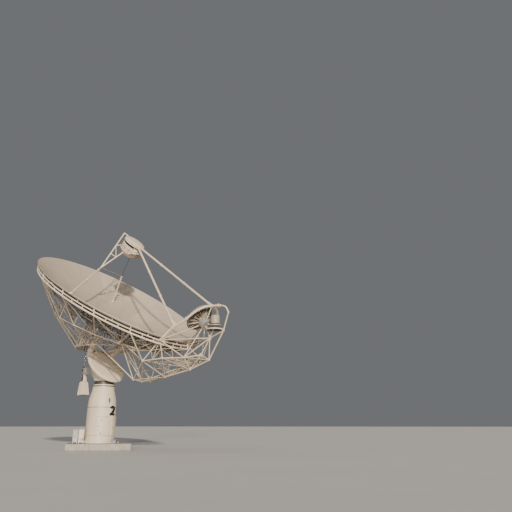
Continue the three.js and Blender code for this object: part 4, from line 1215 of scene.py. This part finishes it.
# Double layer of light bars right under the panels: plan radius and drop of the lower layer
BACKING_LOW = ((1.5, 0.95), (2.9, 0.95), (4.3, 0.90), (5.6, 0.80))
BACKING_HIGH = (0.8, 2.2, 3.6, 5.0, 6.2)
BOOM = {
    "side": vec(3.97, TRUSS_SIDE, 7.93), "corner": vec(7.33, 1.48, 7.78), "hip": vec(6.44, 2.2, 6.24),
    "waist": vec(8.0, 1.8, 6.38), "wrist": vec(9.3, 1.0, 6.42), "knuckle": vec(10.05, 0, 6.65),
    "keel_side": vec(4.28, 0.9, 5.12), "k0": vec(4.28, 0, 5.05), "k1": vec(6.65, 0, 5.27),
    "k2": vec(9.06, 0, 5.68), "k3": vec(10.79, 0, 6.25), "post": vec(10.8, 0, 7.8),
    "nose": vec(12.02, 0, 8.23), "tip": vec(12.43, 0, 9.5), "crown": vec(10.92, 0, 10.14),
}
BOOM_SIDE_BARS = (
    ("side", "corner", 0.075), ("side", "hip", 0.065), ("corner", "hip", 0.055), ("corner", "waist", 0.055),
    ("corner", "wrist", 0.065), ("hip", "waist", 0.065), ("waist", "wrist", 0.065),
    ("wrist", "knuckle", 0.065), ("keel_side", "k0", 0.060), ("keel_side", "hip", 0.055),
    ("keel_side", "side", 0.055), ("hip", "k0", 0.055), ("hip", "k1", 0.055), ("waist", "k1", 0.055),
    ("wrist", "k2", 0.055), ("wrist", "post", 0.055), ("corner", "post", 0.060),
)
BOOM_MIDDLE_BARS = (
    ("k0", "k1", 0.070), ("k1", "k2", 0.070), ("k2", "k3", 0.070), ("knuckle", "k3", 0.055),
    ("knuckle", "k2", 0.055), ("knuckle", "post", 0.055), ("k3", "post", 0.055), ("k3", "nose", 0.070),
    ("post", "nose", 0.055), ("nose", "tip", 0.065),
)
# Faces of the boom, each braced by light bars between the middles of its edges
BOOM_FACES = (
    ("side", "corner", "hip"), ("corner", "hip", "waist"), ("corner", "waist", "wrist"),
    ("keel_side", "side", "hip"), ("hip", "k0", "k1"), ("hip", "k1", "waist"), ("waist", "k1", "k2"),
    ("waist", "wrist", "k2"), ("wrist", "knuckle", "k2"),
)


def frame_joint(part, at, ends, radius):
    """Welded joint: a ball with gusset plates between neighbouring bars."""
    part.ball(at, radius, 12)
    reach = radius * 2.6
    ways = [(end - at).normalized() for end in ends]
    for a, b in zip(ways, ways[1:]):
        if -0.6 < a.dot(b) < 0.9:
            middle = (a + b).normalized()
            part.fin([at, at + a * reach, at + middle * reach * 0.72, at + b * reach], 0.014)


def joints_of(bars):
    """Where three bars or more meet, and the far ends of those bars."""
    met = {}
    for p, q, _ in bars:
        for here, there in ((p, q), (q, p)):
            met.setdefault(tuple(round(c, 3) for c in here), []).append(there)
    return [(Vector(at), ends) for at, ends in met.items() if len(ends) >= 3]


def make_frame(names, bars, replaced, joint_radius, fine_bars):
    """A space frame's main bars with their joints, then its fine bars."""
    part = Part()
    part.tubes(bars, 12, SLIM)
    for at, ends in joints_of(bars):
        frame_joint(part, at, ends, joint_radius)
    part.piece(names[0], "dish", "lattice_paint_with_shade", replaced)
    fine = Part()
    fine.tubes(fine_bars, 8)
    fine.piece(names[1], "dish", "fine_bars")


def dish_truss_bars():
    bars = []
    for k in range(BAYS):
        base, middle = base_ring(k), lower_middle(k)
        bars += [(base, middle, 0.060), (middle, rail_lower(k), 0.060),
                 (base, to_shell(base, INNER_PLAN, k), 0.050),
                 (middle, to_shell(middle, OUTER_PLAN, k), 0.050), (middle, lower_middle(k + 1), 0.055)]
        if k < BAYS - 1:
            bars.append((base, base_ring(k + 1), 0.070))
    for side in SIDES:
        star = vec(AXIS.x, side * TRUSS_SIDE, AXIS.z)
        bays = [mirrored(k, side) for k in (2, 3, 4, 5)]
        bars += [(star, base_ring(k), 0.060) for k in bays]
        bars += [(star, to_shell(star, INNER_PLAN, k), 0.050) for k in bays[1:3]]
    head = LEVER_PIVOT + vec(0, 0, LEVER_RISE)
    bars += [(head, base_ring(k), 0.060) for k in (0, 15, 1, 14)]
    bars += [(head, to_shell(head, INNER_PLAN, k), 0.055) for k in (0, 15)]
    bars += [(head, lower_middle(k), 0.050) for k in (0, 15)]
    return bars


def fine_truss_bars():
    """Lighter bracing between the main bars, and the chords that the panels rest on."""
    bars = []
    drop = SHELL + 0.105
    for k in range(BAYS):
        inner, next_inner = (under_bay(INNER_PLAN, j, drop) for j in (k, k + 1))
        outer, next_outer = (under_bay(OUTER_PLAN, j, drop) for j in (k, k + 1))
        rail = under_bay(RAIL_PLAN, k, UPPER_DROP)
        middle = lower_middle(k)
        bars += [(inner, next_inner, 0.030), (outer, next_outer, 0.030), (inner, outer, 0.034),
                 (outer, rail, 0.034), (middle, inner, 0.032), (middle, rail, 0.032),
                 (base_ring(k), lower_middle(k + 1), 0.026), (middle, rail_lower(k + 1), 0.026),
                 (outer, next_inner, 0.022)]
        if k != BAYS - 1:
            bars.append((base_ring(k), next_inner, 0.026))
    return bars


# Backing bars in the near-black panel-back paint: painted shade under the panels
def make_backing():
    bars = []
    drop = SHELL + 0.085
    for j, (radius, low) in enumerate(BACKING_LOW):
        for k in range(BAYS):
            node = under_bay(radius, k, low)
            bars.append((node, under_bay(radius, k + 1, low), 0.030))
            if j + 1 < len(BACKING_LOW):
                next_radius, next_low = BACKING_LOW[j + 1]
                bars.append((node, under_bay(next_radius, k, next_low), 0.030))
            bars += [(node, under_bay(ring, k + half, drop), 0.024)
                     for ring in BACKING_HIGH[j:j + 2] for half in (-0.5, 0.5)]
    part = Part()
    part.tubes(bars, 6)
    part.piece("dish_backing", "dish", "panel_back")


def boom_bars():
    bars = [(BOOM[a], BOOM[b], r) for a, b, r in BOOM_MIDDLE_BARS]
    for side in SIDES:
        at = {name: flip(p, side) for name, p in BOOM.items()}
        bars += [(at[a], at[b], r) for a, b, r in BOOM_SIDE_BARS]
        bars += [(vec(AXIS.x, side * TRUSS_SIDE, AXIS.z), at["side"], 0.075),
                 (rail_lower(mirrored(5, side)), at["side"], 0.060),
                 (rail_lower(mirrored(6, side)), at["hip"], 0.055),
                 (at["keel_side"], base_ring(mirrored(5, side)), 0.060),
                 (at["k0"], base_ring(mirrored(7, side)), 0.060)]
    paired = ("side", "corner", "hip", "waist", "wrist")
    bars += [(BOOM[name], flip(BOOM[name], -1), 0.055) for name in paired]
    return bars


def fine_boom_bars():
    bars = []
    for side in SIDES:
        at = {name: flip(p, side) for name, p in BOOM.items()}
        for face in BOOM_FACES:
            a, b, c = (at[name] for name in face)
            middles = (a.lerp(b, 0.5), b.lerp(c, 0.5), c.lerp(a, 0.5))
            bars += [(middles[i], middles[i - 1], 0.024) for i in range(3)]
        other_waist = flip(at["waist"], -1)
        bars += [(rail_lower(mirrored(6, side)), at["side"], 0.040), (at["keel_side"], at["k1"], 0.036),
                 (at["waist"], at["k2"], 0.036), (at["wrist"], at["k3"], 0.036),
                 (at["corner"], at["side"].lerp(at["hip"], 0.5), 0.030), (at["hip"], other_waist, 0.030),
                 (at["side"], at["keel_side"].lerp(at["hip"], 0.5), 0.030),
                 (at["corner"], at["hip"].lerp(at["waist"], 0.5), 0.028), (at["wrist"], other_waist, 0.028)]
    bars.append((BOOM["side"], flip(BOOM["corner"], -1), 0.036))
    return bars


# Bent tube over the receivers

ARCH_PATH = [vec(7.33, -1.48, 7.78), vec(8.47, -1.42, 8.56), vec(9.6, -1.34, 9.08), vec(10.4, -1.19, 9.6),
             vec(10.79, -0.72, 9.95), vec(10.92, 0, 10.14)]
ARCH_TAIL = [vec(10.92, 0, 10.14), vec(11.66, 0, 10.09), vec(12.15, 0, 9.94), vec(12.43, 0, 9.5)]
# Bolted flanges: radius, thickness, radius of the bolt circle and number of bolts
ARCH_FLANGE = (0.138, 0.05, 0.116, 10)
STRUT_FLANGE = (0.120, 0.044, 0.101, 8)
FLANGE_BOLT = 0.009
TAIL_RADIUS = 0.058


def bolted_flange(part, bolts, at, axis, sizes, faces=(1, -1)):
    """Flange pair round a tube, with bolts on one face or on both."""
    radius, thickness, circle_radius, count = sizes
    part.flange(at, axis, radius, thickness)
    m = frame_to(at, axis)
    for face in faces:
        bolts.bolt_circle(m, circle_radius, face * thickness / 2, count, FLANGE_BOLT, face < 0)


def make_arch():
    part = Part()
    bolts = Part()
    for side in SIDES:
        path = curve_through([flip(p, -side) for p in ARCH_PATH], 10)
        part.sweep(path, ARCH_RADIUS, 20)
        for i in (10, 21, 33):
            bolted_flange(part, bolts, path[i], path[i + 1] - path[i - 1], ARCH_FLANGE)
        part.fin([path[0], path[0] + vec(0.30, 0, 0.20), path[0] + vec(0.42, 0, 0.02)], 0.02)
    tail = curve_through(ARCH_TAIL, 10)
    part.sweep(tail[:12], ARCH_RADIUS, 20)
    part.sweep(tail[11:], TAIL_RADIUS, 16)
    part.ball(BOOM["crown"], ARCH_RADIUS * 1.35, 24, 14)
    bolted_flange(part, bolts, tail[8], tail[9] - tail[7], ARCH_FLANGE, (1,))
    part.ball(ARCH_TAIL[-1], 0.075, 20, 12)
    part.piece("arch_tube", "dish", "cream_steel", ["boom_arch"])
    bolts.piece("arch_bolts", "dish", "grey_steel")


# Small reflector and receivers at the boom end

SECONDARY_FRAME = frame_to((9.9, 0, 9.3), (-0.74, 0, 0.67))
SECONDARY_RADIUS = 1.1
SECONDARY_DEPTH = 0.19
VESSEL_X = 11.25


def bowl(r):
    return SECONDARY_DEPTH * (r / SECONDARY_RADIUS) ** 2


def make_secondary():
    part = Part()
    radii = [SECONDARY_RADIUS * i / 14 for i in range(15)]
    edge = (SECONDARY_RADIUS, SECONDARY_DEPTH - 0.005)
    back = [(r, bowl(r) - 0.025) for r in radii]
    part.lathe([*back, edge, *[(r, bowl(r)) for r in reversed(radii)]], SECONDARY_FRAME, 96)
    part.piece("secondary_bowl", "dish", "reflector_panel", ["secondary_reflector"])
    # A dark skin just behind the bowl: painted shade on the secondary's back
    skin = Part()
    skin.lathe([(r, bowl(r) - 0.031) for r in radii] + [(r, bowl(r) - 0.0252) for r in reversed(radii[1:])],
               SECONDARY_FRAME, 96)
    skin.piece("secondary_back_shade", "dish", "dark_steel")
    ribs = Part()
    for i, m in enumerate(spokes(SECONDARY_FRAME, 16)):
        rise = 0.10 * (i % 2)
        top = [(r, bowl(r) - 0.022) for r in (0.24, 0.45, 0.65, 0.85, 1.07)]
        low = [(1.07, bowl(1.07) - 0.055), (0.65, -0.10 + rise * 0.6), (0.24, -0.29 + rise)]
        ribs.fin(top + low, 0.016, m)
    ribs.lathe([(0, -0.33), (0.255, -0.33), (0.26, -0.325), (0.26, -0.04), (0, -0.04)], SECONDARY_FRAME, 40)
    for r in (0.62, 1.04):
        ribs.lathe(band(r - 0.012, r + 0.012, bowl(r) - 0.075, bowl(r) - 0.02), SECONDARY_FRAME)
    ribs.piece("secondary_rib_plates", "dish", "fine_bars", ["secondary_ribs"])
    hub = Part()
    hub.lathe([(0, -0.82), (0.40, -0.82), (0.43, -0.80), (0.43, -0.70), (0.405, -0.69), (0.405, -0.46),
               (0.43, -0.45), (0.43, -0.335), (0, -0.335)], SECONDARY_FRAME, 56)
    for m in spokes(SECONDARY_FRAME, 12):
        hub.block((0.02, 0.03, 0.24), m, (0.413, 0, -0.575), 0.003)
    hub.piece("receiver_drum", "dish", "grey_steel", ["receiver_hub"])
    bolt_piece("receiver_bolts", "dish", "grey_steel", (SECONDARY_FRAME, 0.34, -0.82, 16, 0.013, True))


def make_receivers():
    can = Part()
    m = shift(VESSEL_X, 0, 0)
    can.lathe([(0, 8.64), (0.42, 8.64), (0.43, 8.65), (0.43, 8.70), (0.42, 8.71), (0.15, 8.71), (0.15, 8.80),
               (0.325, 8.80), (0.33, 8.81), (0.33, 8.86), (0.322, 8.87), (0.322, 9.08), (0.33, 9.09),
               (0.33, 9.12), (0.322, 9.13), (0.322, 9.30), (0.33, 9.31), (0.33, 9.34), (0.26, 9.40),
               (0, 9.40)], m, 56)
    can.piece("receiver_vessel", "dish", "fine_bars", ["receiver_can"])
    bolts = Part()
    bolts.bolt_circle(m, 0.385, 8.71, 16, 0.012)
    bolts.bolt_circle(m, 0.20, 9.40, 10, 0.010)
    for spoke in spokes(m, 4, 0.5):
        bolts.tube((0.11, 0, 8.56), (0.11, 0, 8.65), 0.03, 14, spoke)
    bolts.piece("receiver_vessel_bolts", "dish", "grey_steel")
    bars = Part()
    hub = SECONDARY_FRAME @ vec(0, 0, -0.575)
    seat = vec(VESSEL_X, 0, 8.67)
    runs = [(BOOM["post"], seat, 0.065), (BOOM["nose"], seat, 0.055), (BOOM["post"], hub, 0.070),
            (seat, hub, 0.060), (BOOM["crown"], hub, 0.060)]
    for side in SIDES:
        runs += [(flip(BOOM["corner"], side), hub, 0.060), (flip(BOOM["wrist"], side), hub, 0.050)]
    bars.tubes(runs, 14, SLIM)
    bars.piece("receiver_struts", "dish", "lattice_paint_with_shade", ["receiver_frame"])
    tray = Part()
    tray.lathe([(0.36, 8.60), (0.62, 8.37), (0.64, 8.38), (0.425, 8.645), (0.36, 8.645)], m, 56)
    for spoke in spokes(m, 8, 0.5):
        tray.fin([(0.41, 8.64), (0.62, 8.39), (0.655, 8.41), (0.46, 8.645)], 0.014, spoke)
    tray.piece("receiver_tray", "dish", "dark_steel")
    lip = Part()
    lip.lathe([(0.61, 8.32), (0.665, 8.32), (0.675, 8.33), (0.675, 8.40), (0.665, 8.41), (0.61, 8.41)], m)
    lip.piece("receiver_ring", "dish", "lattice_paint_with_shade")
    lines = Part()
    for i in range(3):
        y = 0.09 * (i - 1)
        sag = 0.06 * i
        start = SECONDARY_FRAME @ vec(0.30, 0.12, -0.80) + vec(0, y, 0)
        lines.sweep(curve_through([start, start + vec(0.10, 0, -0.16 - sag), vec(10.75, y, 8.62 - sag),
                                   vec(11.12, y, 8.60)], 8), 0.016, 8)
    lines.piece("receiver_lines", "dish", "dark_steel")


# Focus cabin

CABIN_FRAME = frame_to((2.19, 0, 16.69), (1, 0, 1))
# Heights of the cabin shell's underside and top, along the cabin's axis
CABIN_FLOOR = -1.1503
CABIN_TOP = -0.22
HORN_X = 2.33
HORN_MOUTH = 15.56
HORN_TOP = 16.30


def make_cabin():
    cap = Part()
    cap.lathe([(0, 0), (0.905, 0), (0.92, 0.012), (0.92, 0.045), (0.905, 0.055), (0.905, 0.145),
               (0.92, 0.155), (0.92, 0.172), (0.89, 0.205), (0.76, 0.262), (0.50, 0.312), (0.25, 0.334),
               (0, 0.34)], CABIN_FRAME, 80)
    for m in spokes(CABIN_FRAME, 12):
        cap.block((0.016, 0.03, 0.09), m, (0.906, 0, 0.100), 0.003)
    cap.piece("cabin_lid", "dish", "cream_steel", ["cabin_cap"])
    # Dark joint strips, a dark band round the body, and a dark disc filling the gap under the lid, which is
    # painted shade in the gap
    seams = Part()
    for m in spokes(CABIN_FRAME, 12, 0.5):
        seams.block((0.008, 0.028, 0.50), m, (0.850, 0, -0.505))
    seams.lathe(band(0.84, 0.854, -0.515, -0.487), CABIN_FRAME, 80)
    seams.lathe(band(0, 0.74, CABIN_TOP - 0.01, -0.0003), CABIN_FRAME)
    seams.piece("cabin_seams_and_gap_shade", "dish", "dark_gap")
    body = Part()
    body.lathe([(0, CABIN_FLOOR), (0.48, CABIN_FLOOR), (0.50, -1.145), (0.846, -0.7853), (0.85, -0.77),
                (0.85, CABIN_TOP - 0.015), (0.84, CABIN_TOP), (0, CABIN_TOP)], CABIN_FRAME, 80)
    for z in (-0.765, -0.255):
        body.lathe(band(0.84, 0.856, z - 0.016, z + 0.016), CABIN_FRAME, 80)
    body.piece("cabin_shell", "dish", "cream_steel", ["cabin_body"])
    bolts = Part()
    bolts.bolt_circle(CABIN_FRAME, 0.79, CABIN_TOP, 32, 0.009)
    bolts.bolt_circle(CABIN_FRAME, 0.40, CABIN_FLOOR, 16, 0.012, True)
    for m in spokes(CABIN_FRAME, 24, 0.25):
        bolts.bolt((0.919, 0, 0.028), (1, 0, 0), 0.010, m)
    bolts.piece("cabin_bolts", "dish", "grey_steel")
    make_horn()
    ports = Part()
    for side in SIDES:
        ports.tube((2.63, side * 0.34, 16.02), (2.63, side * 0.34, 16.32), 0.055, 16)
    ports.piece("cabin_ports", "dish", "grey_steel")


def make_horn():
    """Feed horn, stepped inside and flared outside."""
    mouth = HORN_MOUTH
    outer = [(0.545, mouth), (0.56, mouth + 0.01), (0.56, mouth + 0.05), (0.548, mouth + 0.06)]
    outer += [(0.548 - 0.0545 * i, mouth + 0.06 + 0.068 * i) for i in range(1, 5)]
    outer += [(0.345, mouth + 0.34), (0.345, mouth + 0.37), (0.33, mouth + 0.38), (0.33, HORN_TOP),
              (0, HORN_TOP)]
    inner = [(0, mouth + 0.40), (0.12, mouth + 0.40)]
    for i in range(10):
        z = mouth + 0.38 - 0.038 * i
        r = 0.14 + 0.040 * i
        inner += [(r, z), (r + 0.022, z), (r + 0.022, z - 0.019), (r + 0.040, z - 0.019)]
    horn = Part()
    horn.lathe([*inner, (0.535, mouth), *outer], shift(HORN_X, 0, 0))
    horn.piece("horn_corrugated", "dish", "horn_metal", ["feed_horn"])


# Tripod and conduit

STRUT_HEAD = vec(2.6, 0, 16.48)
GUSSET = ARCH_PATH[1].lerp(ARCH_PATH[2], 0.15)
FORK = vec(0.66, -2.0, 14.31)
FORK_LOW = vec(1.7, -0.5, 16.0)
FRAME_TOP = vec(1.22, -0.3, 17.795)
LEG_FOOT = on_dish(6.6, math.pi + math.radians(107), -0.02)
CONDUIT_FOOT = vec(-1.9, 1.78, dish_height(-1.9, 1.78) + 0.01)
CONDUIT_KNEE = vec(-0.25, 1.1, 14.46)
CONDUIT_END = vec(1.9, 0, 15.7)
# Radii of the leg, of its fork and of the lighter bars at its head
LEG = 0.062
LEG_FORK = 0.055
LEG_BAR = 0.04


def make_struts():
    part = Part()
    bolts = Part()
    crown = BOOM["crown"]
    for end in (crown, GUSSET):
        part.tube(STRUT_HEAD, end, STRUT_RADIUS, 24)
        for f in (0.36, 0.66, 0.965):
            bolted_flange(part, bolts, STRUT_HEAD.lerp(end, f), end - STRUT_HEAD, STRUT_FLANGE)
    part.piece("tripod_struts", "dish", "cream_steel", ["strut_to_crown", "strut_to_near_arch"])
    bolts.piece("tripod_bolts", "dish", "grey_steel")
    gussets = Part()
    along = (ARCH_PATH[2] - ARCH_PATH[1]).normalized()
    back = GUSSET + (STRUT_HEAD - GUSSET).normalized() * 0.62
    gussets.fin([GUSSET - along * 0.30, GUSSET + along * 0.34, back + along * 0.10, back - along * 0.06],
                0.022)
    back = crown + (STRUT_HEAD - crown).normalized() * 0.60
    gussets.fin([crown + vec(-0.22, 0, -0.04), crown + vec(0.30, 0, -0.02), back + vec(0.05, 0, 0.05),
                 back + vec(-0.07, 0, -0.05)], 0.022)
    gussets.piece("strut_gussets", "dish", "cream_steel")


def make_leg():
    """Forked leg with the small frame at its head."""
    leg = Part()
    high = FORK.lerp(FRAME_TOP, 0.62)
    low = FORK.lerp(FORK_LOW, 0.62)
    leg.tube(LEG_FOOT, FORK, LEG, 20)
    leg.tube(FORK, FRAME_TOP, LEG_FORK, 16)
    leg.tube(FORK, FORK_LOW, LEG_FORK, 16)
    leg.tube(FRAME_TOP, (2.05, -0.2, 17.15), 0.05, 14)
    leg.tube(high, (1.7, -0.4, 16.7), LEG_BAR)
    leg.tube(FORK.lerp(FRAME_TOP, 0.4), low, LEG_BAR)
    leg.tube(high, low, 0.032)
    leg.ball(FORK, 0.085, 20, 12)
    leg.ball(FRAME_TOP, 0.035, 18, 10)
    m = Matrix.Translation(LEG_FOOT)
    leg.lathe([(0, -0.03), (0.19, -0.03), (0.19, 0.012), (0.13, 0.018), (0.12, 0.09), (0, 0.09)], m, 32)
    for f in (0.12, 0.5, 0.9):
        leg.flange(LEG_FOOT.lerp(FORK, f), FORK - LEG_FOOT, 0.095, 0.04)
    leg.piece("leg_forked", "dish", "cream_steel", ["forked_leg"])
    bolt_piece("foot_bolts", "dish", "grey_steel", (m, 0.157, 0.014, 8, 0.012),
               (Matrix.Translation(CONDUIT_FOOT), 0.12, 0.055, 6, 0.010))


def make_conduit():
    part = Part()
    part.tube(CONDUIT_FOOT, CONDUIT_KNEE, 0.055, 18)
    part.tube(CONDUIT_KNEE.lerp(CONDUIT_FOOT, 0.03), CONDUIT_KNEE, 0.085, 20)
    for f in (0.10, 0.4, 0.7):
        part.flange(CONDUIT_KNEE.lerp(CONDUIT_FOOT, f), CONDUIT_FOOT - CONDUIT_KNEE, 0.082, 0.036)
    part.lathe([(0, -0.03), (0.15, -0.03), (0.15, 0.05), (0.14, 0.06), (0.08, 0.075), (0, 0.075)],
               Matrix.Translation(CONDUIT_FOOT), 32)
    part.piece("conduit_pole", "dish", "cream_steel", ["conduit_mast"])
    # The upper line is dark steel: painted shade where the conduit runs in shadow above the pole
    line = Part()
    line.tube(CONDUIT_KNEE, CONDUIT_END, 0.022, 14)
    line.tube(CONDUIT_KNEE, CONDUIT_KNEE.lerp(CONDUIT_END, 0.08), 0.034, 14)
    line.tube(CONDUIT_END, CONDUIT_KNEE.lerp(CONDUIT_END, 0.86), 0.034, 14)
    line.piece("conduit_line", "dish", "dark_steel", ["conduit_upper"])
    stay = Part()
    stay.tube(FORK, CONDUIT_KNEE, 0.020)
    stay.tube(FORK.lerp(CONDUIT_KNEE, 0.10), FORK.lerp(CONDUIT_KNEE, 0.18), 0.034)
    stay.piece("stay_rod", "dish", "grey_steel", ["fork_stay"])


# Stage

CAMERA_PLACE = (33.84, -28.90, 1.8)
CAMERA_HEADING = math.radians(123.4)
CAMERA_PITCH = math.radians(18.37)
SENSOR_AND_LENS = 36.0
VIEW_REACH = 4000
FLOOR_REACH = 1500.0
# Lights: name, direction, strength, spread in degrees and colour
SUNS = (("key light", (-0.748, 0.594, -0.296), 4.2, 2.5, (1.0, 0.92, 0.80)),
        ("low light", (-0.612, 0.784, -0.104), 1.7, 6, (1.0, 0.93, 0.82)),
        ("fill light", (0.45, 0.30, -0.84), 0.25, 60, (0.96, 0.97, 1.0)))
WORLD_COLOUR = (0.80, 0.83, 0.87, 1.0)
WORLD_STRENGTH = 0.20


def place(name, data):
    made = bpy.data.objects.new(name, data)
    bpy.context.scene.collection.objects.link(made)
    return made


def make_camera():
    flat = vec(math.cos(CAMERA_HEADING), math.sin(CAMERA_HEADING), 0)
    ahead = flat * math.cos(CAMERA_PITCH) + vec(0, 0, math.sin(CAMERA_PITCH))
    right = vec(math.sin(CAMERA_HEADING), -math.cos(CAMERA_HEADING), 0)
    data = bpy.data.cameras.new("camera")
    data.sensor_width = SENSOR_AND_LENS
    data.lens = SENSOR_AND_LENS
    data.clip_end = VIEW_REACH
    cam = place("camera", data)
    turn = Matrix((right, right.cross(ahead), -ahead)).transposed().to_4x4()
    cam.matrix_world = Matrix.Translation(CAMERA_PLACE) @ turn
    bpy.context.scene.camera = cam


def make_light():
    for name, direction, strength, spread, colour in SUNS:
        data = bpy.data.lights.new(name, "SUN")
        data.energy = strength
        data.angle = math.radians(spread)
        data.color = colour
        lamp = place(name, data)
        lamp.rotation_mode = "QUATERNION"
        lamp.rotation_quaternion = Vector(direction).to_track_quat("-Z", "Y")
    world = bpy.data.worlds.new("studio")
    world.use_nodes = True
    background = world.node_tree.nodes["Background"]
    background.inputs["Color"].default_value = WORLD_COLOUR
    background.inputs["Strength"].default_value = WORLD_STRENGTH
    bpy.context.scene.world = world


def make_floor():
    mesh = bpy.data.meshes.new("floor")
    corners = [(x * FLOOR_REACH, y * FLOOR_REACH, 0) for x, y in ((-1, -1), (1, -1), (1, 1), (-1, 1))]
    mesh.from_pydata(corners, [], [(0, 1, 2, 3)])
    g = Graph("floor")
    tone = g.between(g.noise(0.15, 3.0), 0.3, 0.7)
    mesh.materials.append(g.finish(g.mix(tone, (0.62, 0.60, 0.57), (0.65, 0.63, 0.60)), 0.9))
    floor = place("floor", mesh)


make_camera()
make_light()
make_floor()
make_foundation()
make_pedestal()
make_door()
make_number()
make_cabinets()
make_slewing()
make_yoke_shell()
make_bulkhead()
make_arms()
make_outriggers()
make_gearbox()
make_shroud()
make_screw()
make_lever()
make_reflector()
make_rim()
make_frame(("dish_truss", "dish_truss_bracing"), dish_truss_bars(), ["dish_truss_near", "dish_truss_far"],
           TRUSS_JOINT, fine_truss_bars())
make_backing()
make_frame(("boom_frame", "boom_bracing"), boom_bars(), ["boom_truss"], BOOM_JOINT,
           fine_boom_bars())
make_arch()
make_secondary()
make_receivers()
make_cabin()
make_struts()
make_leg()
make_conduit()
